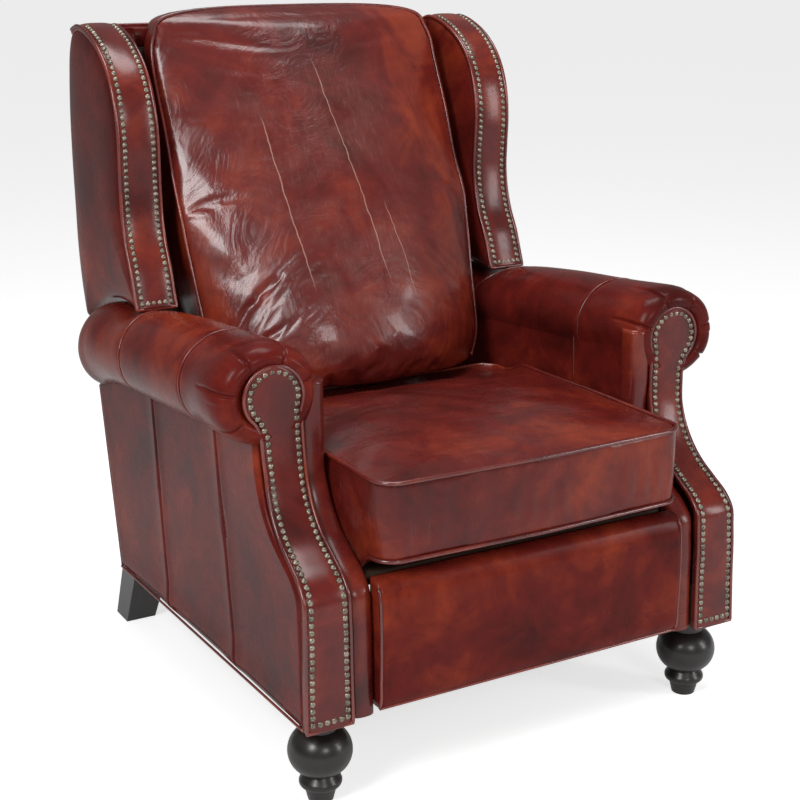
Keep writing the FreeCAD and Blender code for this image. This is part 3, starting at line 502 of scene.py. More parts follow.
def make_materials(colours):
    """All the finishes, once."""
    tones = {key: getattr(colours, key) for key in ("shade", "body", "glow", "rub_and_sheen", "crease")}
    MATERIALS["body"] = leather("leather_body", tones, (0.4, 1.9, 0.2), 1.2)
    MATERIALS["facing"] = leather("leather_facing", tones, (3.1, 0.4, 0.9), 1.45)
    MATERIALS["seat"] = leather("leather_seat", tones, (1.3, 4.2, 0.1), 1.38, 0.30, 0.6)
    MATERIALS["back"] = cushion_leather("leather_back", tones)
    MATERIALS["welt"] = leather("leather_welt", tones, (5.0, 5.0, 5.0), 1.7)
    MATERIALS["brass"] = aged_brass("nail_brass", colours.brass)
    MATERIALS["ebony"] = ebony("leg_wood", colours.ebony)
    MATERIALS["wood"] = rail_wood("frame_wood", colours.wood)
    MATERIALS["steel"] = mechanism_steel("mechanism_steel", colours.steel)
    MATERIALS["spring"] = spring_steel("spring_steel")


def tone(name, description, default):
    """A colour setting."""
    return FloatVectorProperty(name=name, description=description, subtype="COLOR", size=3,
                               default=default)


def length(name, description, default):
    """A size setting in metres."""
    return FloatProperty(name=name, description=description, unit="LENGTH", default=default)


class ReclinerColours(bpy.types.PropertyGroup):
    """Colours of the leather, wood and metal, as linear values."""
    shade: tone("Shade", "Darkest tone of the leather's dye", (0.056, 0.0070, 0.0060))
    body: tone("Body", "Main tone of the leather", (0.140, 0.0130, 0.0095))
    glow: tone("Glow", "Lightest, orange-brown tone of the dye", (0.270, 0.035, 0.013))
    rub_and_sheen: tone("Rub", "Greyed tone where the finish is rubbed", (0.30, 0.12, 0.10))
    # Pale greyed tone: real rubbed finish on the seat, and also a painted highlight on the back cushion's
    # middle.
    crease: tone("Crease", "Pale tone of a cracked crease", (0.48, 0.28, 0.22))
    brass: tone("Brass", "Tone of the nail heads", (0.42, 0.37, 0.29))
    ebony: tone("Ebony", "Tone of the legs", (0.012, 0.009, 0.008))
    wood: tone("Wood", "Tone of the hidden rails", (0.073, 0.040, 0.022))
    steel: tone("Steel", "Tone of the mechanism", (0.02, 0.02, 0.022))


class ReclinerSizes(bpy.types.PropertyGroup):
    """Sizes of the trim, which lies on the frame's own sizes."""
    welt: length("Welt", "Radius of the piping", 0.0030)
    nail: length("Nail", "Radius of a nail head", 0.0048)
    pitch: length("Nail pitch", "Distance between nail heads", 0.0107)
    puff: length("Puff", "How far the padding of a facing stands proud", 0.004)
    voxel: length("Voxel", "Mesh size of the simulated cushions", 0.006)
    pleats: IntProperty(name="Pleats", description="Pleats round the front of an arm roll", default=5)


def sizes():
    """The trim's sizes as the panel sets them."""
    return bpy.context.scene.recliner_sizes


# The arm, seen from the side: the front of its facing as (setback, height).
ARM_FRONT = drawn(np.array([(0, 139), (3, 215), (6, 300), (11, 336), (24, 352), (54, 372), (88, 395),
                            (113, 422), (130, 452), (139, 482), (143, 515), (145, 560),
                            (145, 640)]) * MM, 400)
SCROLL = np.array([0.358, 0.591])
SCROLL_RADIUS = 0.047
# How far the nail rows lie in from a facing's edges, and the radii of the other piping.
NAIL_INSET = 0.0095
PIPING = {"roll": 0.0016, "side": 0.0022, "back": 0.0025, "seat": 0.0034, "pillow": 0.0031,
          "rest": 0.0024}


def arm_front(height):
    """Y of the arm facing's front at a height."""
    return FRONT + np.interp(height, ARM_FRONT[:, 1], ARM_FRONT[:, 0])


def facing_edges(height):
    """The inner and outer edge of the arm facing at a height; above its neck they are a circle."""
    inner = np.interp(height, [0.139, 0.330, 0.495, 0.56], [0.313, 0.313, 0.313, 0.315])
    outer = np.interp(height, [0.139, 0.330, 0.40, 0.480, 0.553], [0.388, 0.384, 0.380, 0.377, 0.381])
    rise = np.clip(height - SCROLL[1], -SCROLL_RADIUS, SCROLL_RADIUS)
    half = np.sqrt(np.maximum(SCROLL_RADIUS ** 2 - rise ** 2, 0))
    above = smooth(0.548, 0.572, height)
    inner_low = inner * (1 - above) + (SCROLL[0] - half) * above
    outer_low = outer * (1 - above) + (SCROLL[0] + half) * above
    return (np.where(height > SCROLL[1], SCROLL[0] - half, np.minimum(inner_low, inner)),
            np.where(height > SCROLL[1], SCROLL[0] + half, outer_low))


def facing_rings(heights, depth=0.010, across=25):
    """Rings of the arm facing: a front that swells between its edges, and a flat rear."""
    share = np.linspace(0, 1, across)
    edge = np.abs(2 * share - 1)
    swell = sizes().puff * (1 - edge ** 3.0) - 0.0015 * edge ** 10
    x = between(*facing_edges(heights), share)
    y, z = arm_front(heights)[:, None], heights[:, None]
    return np.concatenate([grid(x, y - swell, z), grid(x[:, ::-1], y + depth, z)], 1)


def facing_border(shift, ahead, low):
    """The whole edge of the arm facing, up the outside, round the scroll and down the inside."""
    radius = SCROLL_RADIUS - shift
    angle = np.linspace(math.radians(-50), math.radians(205), 60)
    up = np.linspace(low, 0.535, 120)
    down = up[up < 0.530][::-1]
    x = np.r_[facing_edges(up)[1] - shift, SCROLL[0] + radius * np.cos(angle),
              facing_edges(down)[0] + shift]
    z = np.r_[up, SCROLL[1] + radius * np.sin(angle), down]
    return drawn(even(grid(x, arm_front(z) - ahead, z), 90), 500)


def nail_heads(name, spots, normals, body, nodes):
    """Many domed nail heads as one piece: a small dome, repeated at each spot along its normal."""
    rings = ((1.0, -0.10), (1.0, 0.02), (0.86, 0.30), (0.52, 0.50))
    angle = np.linspace(0, 2 * np.pi, 10, endpoint=False)
    dome = [grid(wide * np.cos(angle), wide * np.sin(angle), high) for wide, high in rings]
    dome = np.vstack(dome + [[(0, 0, 0.58), (0, 0, -0.10)]]) * sizes().nail
    count, last = len(angle), len(angle) * (len(rings) - 1)
    top = last + count
    faces = ring_faces(len(rings), count)
    faces += [[last + n, last + (n + 1) % count, top] for n in range(count)]
    faces += [[(n + 1) % count, n, top + 1] for n in range(count)]
    normals = normals / np.linalg.norm(normals, axis=1)[:, None]
    side = np.cross(normals, [1.0, 0.02, 0.03])
    side /= np.linalg.norm(side, axis=1)[:, None]
    ways = np.stack([side, np.cross(normals, side), normals], 1)
    points = spots[:, None, :] + np.einsum("ij,njk->nik", dome, ways)
    size = len(dome)
    every = [[corner + size * n for corner in face] for n in range(len(spots)) for face in faces]
    new_mesh(name, points.reshape(-1, 3), every, body, "brass", nodes)


def facing_nails(path, lift):
    """Even spots along a path on the arm facing, with their outward normals."""
    spots = even(path, int(round(run_along(path)[-1] / sizes().pitch)) + 1)
    height, reach = spots[:, 2], 0.002
    slope = (arm_front(height + reach) - arm_front(height - reach)) / (2 * reach)
    normals = grid(0.0, -1.0, slope)
    normals /= np.linalg.norm(normals, axis=1)[:, None]
    return spots + normals * lift, normals


class RECLINER_OT_arm_facings(bpy.types.Operator):
    """The padded strips down the arm fronts, their piping and their nail heads"""
    bl_idname = "recliner.arm_facings"
    bl_label = "Arm facings"

    def execute(self, context):
        scroll = SCROLL[1] + SCROLL_RADIUS * np.sin(np.linspace(0.22, np.pi / 2 - 0.02, 26))
        rings = facing_rings(np.r_[np.linspace(SKIRT, 0.60, 110), scroll])
        border = facing_border(NAIL_INSET, 0.0, SKIRT + 0.012)
        spots, normals = facing_nails(border, 0.0022)
        base = grid(np.linspace(border[0, 0], border[-1, 0], 6)[1:-1], border[0, 1] - 0.0035, border[0, 2])
        spots = np.vstack([spots, base])
        normals = np.vstack([normals, [(0, -1, 0.04)] * len(base)])
        welt = facing_border(0.0008, 0.0005, SKIRT)
        foot = grid(np.linspace(welt[-1, 0], welt[0, 0], 12), welt[0, 1], welt[0, 2])
        loop = np.vstack([welt, foot[1:-1]])
        for side, sign in SIDES:
            loft(f"arm_facing_leather_{side}", flip(rings, sign), "frame",
                 "facing", [f"arm_facing_{side}"])
            nail_heads(f"arm_nail_heads_{side}", flip(spots, sign), flip(normals, sign), "frame",
                       [f"arm_nails_{side}"])
            welts(f"arm_facing_welt_{side}", [flip(loop, sign)], sizes().welt, "frame",
                  True)
        return {"FINISHED"}


# The arm roll as (setback, top, underside, half width), from its front rim to its rear end, and
# its front rim, which turns in to the facing, as (setback, share of the roll's size).
ROLL = np.array([(158, 652, 530, 62), (168, 661, 521, 73), (188, 667, 515, 79), (300, 657, 505, 81),
                 (445, 645, 494, 81), (580, 627, 486, 80), (650, 611, 480, 78), (750, 609, 461, 73),
                 (800, 595, 448, 67), (812, 584, 458, 57)]) * MM
ROLL_RIM = np.array([(152, 0.545), (145, 0.60), (141, 0.70), (142, 0.80), (148, 0.89), (158, 0.955),
                     (172, 0.99)]) * [MM, 1.0]
ROLL_MIDDLE = 0.360
ROLL_SEAMS = ((0.297, 0.0), (0.600, 0.045))


def seam_at(seam, angle):
    """The setback of a seam round the arm roll; the rear one lies farther back on the inside."""
    return seam[0] - seam[1] * np.cos(angle)


def roll_rings(around=256):
    """Rings of the arm roll. The front rim turns in to the facing, gathered in radial pleats, and
    two seams are drawn in round the roll."""
    angle = np.linspace(0, 2 * np.pi, around, endpoint=False)
    body = drawn(ROLL[2:], 150)
    top, under, half = body[0, 1:]
    pleat_at = np.radians(np.linspace(-38, 160, sizes().pleats))
    gap = np.abs((angle - pleat_at[:, None] + np.pi) % (2 * np.pi) - np.pi)
    turned = (angle + 1.5) % (2 * np.pi) - 1.5
    gathered = smooth(-0.9, -0.6, turned) * (1 - smooth(2.9, 3.2, turned))
    puff = np.abs(np.sin((angle - pleat_at[0]) / (pleat_at[1] - pleat_at[0]) * np.pi)) * gathered
    rings = []
    for setback, share in drawn(ROLL_RIM, 22):
        fold = dip(gap, 0, 0.030).sum(0) * smooth(0.56, 0.66, share)
        depth = 0.0058 * fold - 0.0016 * puff * smooth(0.60, 0.70, share)
        rings.append(grid(ROLL_MIDDLE + 0.004 + ((half + 0.004) * share - depth) * np.cos(angle),
                          FRONT + setback + depth * 2.4 * (1 - share),
                          (top + under) / 2 + ((top - under) / 2 * share - depth) * np.sin(angle)))
    for setback, top, under, half in body:
        fade = 1 - smooth(0.185, 0.230, setback)
        fold = dip(gap, 0, 0.030 - 0.010 * (1 - fade)).sum(0) * fade
        drawn_in = sum(dip(setback, seam_at(seam, angle), 0.0035) for seam in ROLL_SEAMS)
        depth = 0.0052 * fold + 0.0028 * drawn_in
        spread = 0.004 * (1 - smooth(0.19, 0.28, setback))
        rings.append(grid(ROLL_MIDDLE + spread + (half - depth + spread) * np.cos(angle), FRONT + setback,
                          (top + under) / 2 + ((top - under) / 2 - depth) * np.sin(angle)))
    return np.array(rings)


class RECLINER_OT_arm_rolls(bpy.types.Operator):
    """The rolled arm tops with their pleated fronts and drawn seams"""
    bl_idname = "recliner.arm_rolls"
    bl_label = "Arm rolls"

    def execute(self, context):
        rings = roll_rings()
        rear = rings[-1]
        centre = rear.mean(0)
        ends = [centre + (rear - centre) * share + np.array([0, 0.004 * (1 - share), 0])
                for share in (0.9, 0.7, 0.4)]
        rings = np.concatenate([rings, ends])
        row = drawn(ROLL, 600)
        angle = np.linspace(math.radians(-62), math.radians(235), 90)
        bed = 0.0012
        seams = []
        for seam in ROLL_SEAMS:
            setback = seam_at(seam, angle)
            top, under, half = read_at(setback, row[:, 0], row[:, 1:]).T
            seams.append(grid(ROLL_MIDDLE + (half - bed) * np.cos(angle), FRONT + setback + 0.003,
                              (top + under) / 2 + ((top - under) / 2 - bed) * np.sin(angle)))
        for side, sign in SIDES:
            loft(f"arm_roll_leather_{side}", flip(rings, sign), "frame", "body",
                 [f"arm_roll_{side}"])
            welts(f"arm_roll_seam_{side}", [flip(seam, sign) for seam in seams], PIPING["roll"],
                  "frame")
        return {"FINISHED"}


# The two upright seams of the outer side, as setbacks at its foot and its top.
SIDE_SEAMS = ((0.255, 0.313), (0.527, 0.574))


def side_panel_rings(rows=60, across=360):
    """The outer side: flat leather, a little hollow between front and rear, drawn in at two seams."""
    u, v = np.linspace(0, 1, across), np.linspace(0, 1, rows)
    z_front = 0.1385 + v * (0.575 - 0.1385)
    z_rear = 0.121 + v * (0.500 - 0.121)
    y_rear = FRONT + np.interp(z_rear, [0.120, 0.446, 0.50], [0.753, 0.821, 0.824])
    y = between(arm_front(z_front) + 0.0105, y_rear, u)
    z = between(z_front, z_rear, u)
    hollow = 0.007 * np.sin(np.pi * np.clip(u * 1.02, 0, 1)) ** 0.8
    x = 0.387 - hollow * (smooth(0.0, 0.12, v)[:, None] * 0.6 + 0.4)
    for foot, top in SIDE_SEAMS:
        seam = FRONT + foot + (top - foot) * v[:, None]
        x = x - 0.0046 * dip(y, seam, 0.0028) + 0.0014 * dip(y, seam, 0.018)
    edge = smooth(0, 0.012, u) * smooth(0, 0.012, 1 - u)
    x = x - 0.004 * (1 - edge) - 0.004 * (1 - smooth(0, 0.03, v))[:, None]
    return np.concatenate([grid(x, y, z), grid(0.3755, y, z)[:, ::-1]], 1)


def inner_seam(height):
    """Y of the seam on the inner arm at a height."""
    return FRONT + 0.30 + 0.06 * (height - 0.36)


class RECLINER_OT_arm_sides(bpy.types.Operator):
    """The outside and inside arm leather, the padded roll beside the facing, and skirt piping"""
    bl_idname = "recliner.arm_sides"
    bl_label = "Arm sides"

    def execute(self, context):
        outer, inner, roll = side_panel_rings(), self.inside_rings(), self.front_roll_rings()
        height = np.linspace(0.36, 0.575, 40)
        seam = grid(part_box("inside_arm_R")[0].x - 0.0006, inner_seam(height), height)
        skirt = grid(0.3865, FRONT + np.linspace(0.012, 0.751, 60), np.linspace(0.1385, 0.1215, 60))
        rear = grid(0.3845, FRONT + np.linspace(0.752, 0.820, 50), np.linspace(0.122, 0.446, 50))
        for side, sign in SIDES:
            loft(f"outside_arm_leather_{side}", flip(outer, sign), "frame", "body",
                 [f"outside_arm_{side}"])
            loft(f"inside_arm_leather_{side}", flip(inner, sign), "frame", "body",
                 [f"inside_arm_{side}"])
            loft(f"arm_front_roll_leather_{side}", flip(roll, sign), "frame", "facing",
                 [f"arm_front_roll_{side}"])
            welts(f"arm_side_welt_{side}", [flip(path, sign) for path in (skirt, rear, seam)],
                  PIPING["side"], "frame")
        return {"FINISHED"}

    @staticmethod
    def inside_rings(rows=50, across=90):
        """The inner arm: a soft panel that swells a little between deck and roll."""
        u, v = np.linspace(0, 1, across), np.linspace(0, 1, rows)
        z_front = 0.346 + v * (0.590 - 0.346)
        z_rear = 0.346 + v * (0.528 - 0.346)
        y = between(arm_front(z_front) + 0.030, np.full(rows, FRONT + 0.761), u)
        z = between(z_front, z_rear, u)
        swell = 0.0045 * np.sin(np.pi * v)[:, None] * np.sin(np.pi * u) ** 0.3
        x = 0.2835 - swell + 0.0032 * dip(y, inner_seam(z), 0.003)
        return np.concatenate([grid(x, y, z), grid(0.2985, y, z)[:, ::-1]], 1)

    @staticmethod
    def front_roll_rings(rows=90, across=40):
        """A padded roll that follows the facing from the skirt up to the arm roll."""
        z = np.linspace(0.1395, 0.606, rows)
        angle = np.linspace(0, 2 * np.pi, across, endpoint=False)
        half, depth, power = 0.0204, 0.020, 0.75
        centre = 0.2918 + 0.004 * smooth(0.40, 0.5, z)
        lean = np.clip(np.gradient(arm_front(z), z), 0, 1.4)
        middle = arm_front(z) + 0.004 + depth + 0.010 * lean - 0.007 * smooth(0.46, 0.53, z)
        return grid(centre[:, None] + signed_power(np.cos(angle), power) * half,
                    middle[:, None] + signed_power(np.sin(angle), power) * depth, z[:, None])


# The wing seen from the side: the front line, and the rest of its outline, as (setback, height).
WING_FRONT = np.array([(617, 622), (628, 650), (641, 685), (660, 722), (672, 760), (677, 800),
                       (676, 845), (674, 890), (679, 935), (693, 975), (716, 1008), (750, 1036),
                       (792, 1056)]) * MM
WING_REAR = np.array([(792, 1056), (818, 1064), (850, 1068), (882, 1060), (902, 1032), (912, 990),
                      (920, 930), (923, 850), (921, 760), (917, 660), (906, 600), (893, 556)]) * MM
# The wing's foot is an arc about the back's pivot, clear of the arm roll.
PIVOT = np.array([0.690, 0.300])
FOOT_RADIUS = 0.3225
WING_SIDES = (0.3115, 0.3795)
# Half of the wing's section: the outline's share and how far it lies in from the side.
WING_STEPS = ((0.05, -0.004), (0.3, -0.0045), (0.6, -0.004), (0.85, -0.002), (0.94, 0.0),
              (0.975, 0.002), (0.992, 0.006), (1.0, 0.012))


def wing_rings(count=240):
    """Rings across the wing: a rounded edge outside and softly padded faces. The outline is the
    front line, the rounded top, the upright rear and the arc over the arm roll."""
    turn = np.radians(np.linspace(38, -12.3, 60))
    arc = PIVOT + FOOT_RADIUS * np.stack([np.sin(turn), np.cos(turn)], 1)
    front = drawn(WING_FRONT + [0.006, 0.001])
    outline = even(np.vstack([front[:-1], drawn(WING_REAR), arc, front[:1]]), count + 1)[:-1]
    inner, outer = WING_SIDES
    rings = [(inner + inset, share) for share, inset in WING_STEPS]
    rings += [(outer - inset, share) for share, inset in reversed(WING_STEPS)]
    return slabs(outline, outline.mean(0) + [0.0, 0.02], rings)


class RECLINER_OT_wings(bpy.types.Operator):
    """The wings, their nailed facings and their piping"""
    bl_idname = "recliner.wings"
    bl_label = "Wings"

    def execute(self, context):
        line = even(drawn(np.vstack([WING_FRONT, WING_REAR[1:4]]), 300), 150)
        along = np.gradient(line, axis=0)
        along /= np.linalg.norm(along, axis=1)[:, None]
        ahead = grid(0.0, -along[:, 1], along[:, 0])
        inner, outer = self.edges(line[:, 1])
        run, pitch = run_along(line), sizes().pitch
        at_run = 0.009 + pitch * np.arange(int(round((run[-1] - 0.060) / pitch)))
        spots = [read_at(at_run, run, grid(edge, FRONT + line[:, 0], line[:, 1]))
                 for edge in (inner + NAIL_INSET, outer - NAIL_INSET)]
        first, last = spots[0][0], spots[1][0]
        spots.append(grid(np.linspace(first[0], last[0], 6)[1:-1], first[1], first[2]))
        row = read_at(at_run, run, ahead)
        normals = np.vstack([row, row, [row[0]] * len(spots[-1])])
        spots = np.vstack(spots) + normals * 0.0030
        strip = self.strip(line, inner, outer, ahead)
        inside, outside = [grid(edge, FRONT + line[:, 0], line[:, 1]) + ahead * 0.0005
                           for edge in (inner, outer)]
        foot = even(np.vstack([outside[0], inside[0]]), 14)[1:-1]
        loop = np.vstack([inside, outside[::-1], foot])
        wing = wing_rings()
        for side, sign in SIDES:
            loft(f"wing_leather_{side}", flip(wing, sign), "back", "body",
                 [f"wing_{side}"])
            loft(f"wing_facing_leather_{side}", flip(strip, sign), "back", "facing",
                 [f"wing_facing_{side}"])
            nail_heads(f"wing_nail_heads_{side}", flip(spots, sign), flip(normals, sign), "back",
                       [f"wing_nails_{side}"])
            welts(f"wing_facing_welt_{side}", [flip(loop, sign)], sizes().welt, "back",
                  True)
        return {"FINISHED"}

    @staticmethod
    def edges(height):
        """The wing facing narrows a little towards the top."""
        return (np.interp(height, [0.65, 0.8, 1.05], [0.3125, 0.3095, 0.3135]),
                np.interp(height, [0.65, 0.8, 1.05], [0.3815, 0.3785, 0.3795]))

    @staticmethod
    def strip(line, inner, outer, ahead, across=21):
        """A padded strip that runs up the wing's front and over its top."""
        share = np.linspace(0, 1, across)
        swell = sizes().puff * 1.2 * (1 - np.abs(2 * share - 1) ** 3)
        base = grid(0.0, FRONT + line[:, 0], line[:, 1])
        fore = base[:, None, :] + ahead[:, None, :] * swell[None, :, None]
        rear = np.repeat((base - ahead * 0.007)[:, None, :], across, 1)
        fore[..., 0] = between(inner, outer, share)
        rear[..., 0] = between(outer, inner, share)
        return np.concatenate([fore, rear], 1)


# The rear of the chair seen from the side, as (setback, height).
REAR_LINE = np.array([(796, 262), (842, 400), (890, 548), (912, 640), (922, 720), (924, 880),
                      (920, 950), (912, 990), (902, 1030), (886, 1066)]) * MM


def back_plane(height):
    """Setback of the plane behind the back cushion, which leans 11.5 degrees."""
    return 0.688 + (height - 0.250) * math.tan(math.radians(11.5))


class RECLINER_OT_outside_back(bpy.types.Operator):
    """The leather panels that close the chair's back, outside and beside the cushion"""
    bl_idname = "recliner.outside_back"
    bl_label = "Outside back"

    def execute(self, context):
        z = np.r_[np.linspace(0.262, 0.588, 30), np.linspace(0.592, 1.066, 60)]
        line = drawn(REAR_LINE, 300)
        y = FRONT + np.interp(z, line[:, 1], line[:, 0])
        u = np.linspace(-1, 1, 70)
        x = np.where(z < 0.590, 0.2705, 0.3105)[:, None] * u
        bow = 0.003 * (1 - u ** 2) - 0.0015 * dip(np.abs(u), 0.55, 0.012) - 0.001
        rings = np.concatenate([grid(x, y[:, None] + bow, z[:, None]),
                                grid(x[:, ::-1], y[:, None] - 0.012, z[:, None])], 1)
        loft("outside_back_leather", rings, "back", "body", ["outside_back"])
        upper = z > 0.60
        paths = [grid(sign * 0.3112, y[upper] - 0.002, z[upper]) for _, sign in SIDES]
        paths.append(grid(np.linspace(-0.31, 0.31, 40), y[-1] - 0.005, 1.0665))
        self.inside()
        welts("outside_back_welt", paths, PIPING["back"], "back")
        return {"FINISHED"}

    @staticmethod
    def inside():
        """The inner leather beside the cushion and over the top rail, in front of the posts."""
        z = np.linspace(0.60, 1.062, 40)
        plane = FRONT + back_plane(z)
        section = np.array([(0.2795, 0.010), (0.284, 0.003), (0.3105, 0.003), (0.3105, -0.004),
                            (0.2795, -0.004)])
        strip = grid(section[:, 0], plane[:, None] - section[:, 1], z[:, None])
        for side, sign in SIDES:
            loft(f"inside_back_leather_{side}", flip(strip, sign), "back", "body")
        front, rear = plane[-1] + 0.002, FRONT + 0.884
        section = np.array([(front, 1.030), (front, 1.060), (front + 0.003, 1.063), (rear, 1.064),
                            (rear, 1.030)])
        x = np.linspace(-0.3105, 0.3105, 12)[:, None]
        loft("top_leather", grid(x, section[:, 0], section[:, 1]), "back", "body")


def inflate(piece, hold, cap, pressure):
    """Pads a closed shape by cloth simulation: fine remesh, pressure from inside, seams held,
    and each point's travel capped."""
    remesh = piece.modifiers.new("remesh", "REMESH")
    remesh.mode = "VOXEL"
    remesh.voxel_size = sizes().voxel
    apply_modifiers(piece)
    start = read_points(piece.data)
    group = piece.vertex_groups.new(name="held")
    group.add(np.nonzero(hold(start))[0].tolist(), 1.0, "REPLACE")
    cloth = piece.modifiers.new("cloth", "CLOTH")
    cloth.settings.use_pressure = True
    cloth.settings.uniform_pressure_force = pressure
    cloth.settings.effector_weights.gravity = 0.0
    cloth.settings.vertex_group_mass = "held"
    cloth.settings.tension_stiffness = 12
    cloth.settings.compression_stiffness = 12
    cloth.settings.bending_stiffness = 0.8
    cloth.point_cache.frame_start = 1
    cloth.point_cache.frame_end = 20
    for step in range(1, 21):
        bpy.context.scene.frame_set(step)
    apply_modifiers(piece)
    mesh = piece.data
    move = read_points(mesh) - start
    far = np.linalg.norm(move, axis=1)
    move *= np.minimum(1.0, cap / np.maximum(far, 1e-9))[:, None]
    move_points(mesh, start + move)
    bpy.context.scene.frame_set(1)
    mesh.polygons.foreach_set("use_smooth", [True] * len(mesh.polygons))


def apply_modifiers(piece):
    """Turns a piece's modifiers into its mesh."""
    graph = bpy.context.evaluated_depsgraph_get()
    made = bpy.data.meshes.new_from_object(piece.evaluated_get(graph))
    old = piece.data
    name = old.name
    piece.modifiers.clear()
    piece.data = made
    bpy.data.meshes.remove(old)
    made.name = name


def subdivide(piece):
    """One level of subdivision, the same in the view and the render."""
    smoothing = piece.modifiers.new("subdivide", "SUBSURF")
    smoothing.levels = 1
    smoothing.render_levels = 1


# The seat cushion: its half width, its front and rear as setbacks, and its seams' heights.
SEAT = {"half": 0.266, "nose": -0.004, "tail": 0.545, "low": 0.3405, "lift": 0.030, "top": 0.488}
SEAT_MIDDLE = np.array([0.0, 0.27])
# How far the padding may reach: sideways, down to the deck and forwards.
SEAT_ROOM = {"side": 0.2765, "deck": 0.3403, "nose": -0.020}


def seat_outline(count=220, radius=0.034, chamfer=0.02):
    """The cushion seen from above: straight sides, rounded front corners, square tail."""
    half, nose, tail = SEAT["half"], SEAT["nose"], SEAT["tail"]
    turn = np.linspace(0, np.pi / 2, 16)
    right = np.stack([half - radius + radius * np.sin(turn), nose + radius - radius * np.cos(turn)], 1)
    left = right[::-1] * [-1, 1]
    back = [(half, tail - chamfer), (half - chamfer, tail), (-half + chamfer, tail),
            (-half, tail - chamfer)]
    path = np.vstack([left, [[0.0, nose - 0.006]], right, back, left[:1]])
    return even(path, count + 1)[:-1]


def seat_heights(setback):
    """The underside and the top seam of the cushion at a setback."""
    low = SEAT["low"] + SEAT["lift"] * (1 - smooth(0.030, 0.075, setback))
    top = SEAT["top"] - 0.004 * smooth(0.2, 0.40, setback) - 0.022 * smooth(0.425, 0.50, setback)
    return low, top


class RECLINER_OT_seat_cushion(bpy.types.Operator):
    """The box seat cushion: crowned, padded, with piping along its seams"""
    bl_idname = "recliner.seat_cushion"
    bl_label = "Seat cushion"

    def execute(self, context):
        outline = seat_outline()
        rings = [self.level(outline, share, False) for share in (0.04, 0.3, 0.6, 0.85, 0.97)]
        rings += [self.wall(outline, share) for share in (0.0, 0.12, 0.3, 0.5, 0.7, 0.88, 1.0)]
        rings += [self.level(outline, share, True) for share in (0.97, 0.9, 0.78, 0.62, 0.45, 0.25, 0.05)]
        piece = loft("seat_cushion_leather", np.array(rings), "seat", "seat",
                     ["seat_cushion"])
        inflate(piece, self.held, 0.022, 4.0)
        self.settle(piece.data)
        subdivide(piece)
        paths = [self.wall(outline, 0.0, 0.0012) + [0, 0, 0.001], self.wall(outline, 1.0, 0.0012)]
        welts("seat_cushion_welt", paths, PIPING["seat"], "seat", True)
        return {"FINISHED"}

    @staticmethod
    def level(outline, share, top):
        """A ring of the top or the underside, between its middle and the seam."""
        spot = SEAT_MIDDLE + (outline - SEAT_MIDDLE) * share
        low, high = seat_heights(spot[:, 1])
        edge_high = seat_heights(outline[:, 1])[1]
        crown = 0.022 * (1 - share ** 2.4) * (1 - 0.95 * smooth(0.34, 0.45, spot[:, 1]))
        z = high * (1 - share ** 4) + edge_high * share ** 4 + crown if top else low
        return grid(spot[:, 0], FRONT + spot[:, 1], z)

    @staticmethod
    def wall(outline, share, proud=0.0):
        """A ring of the boxing between the two seams, fuller by a little at mid height."""
        low, high = seat_heights(outline[:, 1])
        away = outline - SEAT_MIDDLE
        away /= np.linalg.norm(away, axis=1)[:, None]
        spot = outline + away * (0.002 * np.sin(np.pi * share) + proud)
        return grid(spot[:, 0], FRONT + spot[:, 1], low + (high - low) * share)

    @staticmethod
    def held(points):
        """Points that the simulation keeps: the two seams, the underside and the tail."""
        setback = points[:, 1] - FRONT
        low, high = seat_heights(setback)
        near = np.minimum(SEAT["half"] - np.abs(points[:, 0]), setback - SEAT["nose"])
        seam = (np.abs(points[:, 2] - high) < 0.005) & (near < 0.012)
        return seam | (points[:, 2] < low + 0.006) | (setback > 0.46)

    @staticmethod
    def settle(mesh):
        """Keeps the padded cushion off its neighbours, and lays small sitting creases in its top."""
        x, y, z = read_points(mesh).T
        x = np.clip(x, -SEAT_ROOM["side"], SEAT_ROOM["side"])
        setback = y - FRONT
        top = smooth(0.455, 0.49, z) * smooth(0.0, 0.03, setback)
        wave = (np.sin(setback * 60 + 9 * np.sin(x * 9)) * np.sin(x * 17 + 2.0) * 0.0011
                + np.sin(x * 34 + setback * 12) * 0.0007)
        front = smooth(0.03, 0.0, setback) * smooth(0.37, 0.40, z) * (1 - smooth(0.47, 0.485, z))
        gather = np.sin(x * 150 + 3 * np.sin(x * 30)) * np.sin((z - 0.36) * 30) * 0.0009
        y = np.maximum(y - gather * front, FRONT + SEAT_ROOM["nose"])
        move_points(mesh, grid(x, y, np.maximum(z + wave * top, SEAT_ROOM["deck"])))


# The back cushion's seam, seen from the side and the front: (setback, height, half width).
PILLOW_POINTS = np.array([(558, 479, 232), (580, 520, 256), (600, 566, 264), (618, 613, 268),
                          (637, 674, 273), (651, 717, 276), (665, 763, 278), (699, 831, 277),
                          (727, 906, 277), (752, 960, 277), (770, 1001, 276), (782, 1041, 271),
                          (789, 1062, 262)]) * MM
PILLOW = drawn(PILLOW_POINTS)
PILLOW_FRONT = drawn(np.array([(462, 479), (452, 520), (462, 566), (482, 613), (516, 674), (543, 717),
                               (572, 763), (611, 831), (655, 906), (688, 960), (713, 1001),
                               (739, 1041), (760, 1072), (778, 1088), (798, 1098)]) * MM)
# The height where the sides turn into the arch, and the room beside the cushion and under it.
PILLOW_TOP = 1.062
PILLOW_ROOM = {"waist": 0.2745, "side": 0.300, "foot": 0.4790}


def pillow_edge(height):
    """The setback of the back cushion's seam at a height."""
    return np.interp(height, PILLOW[:, 1], PILLOW[:, 0])


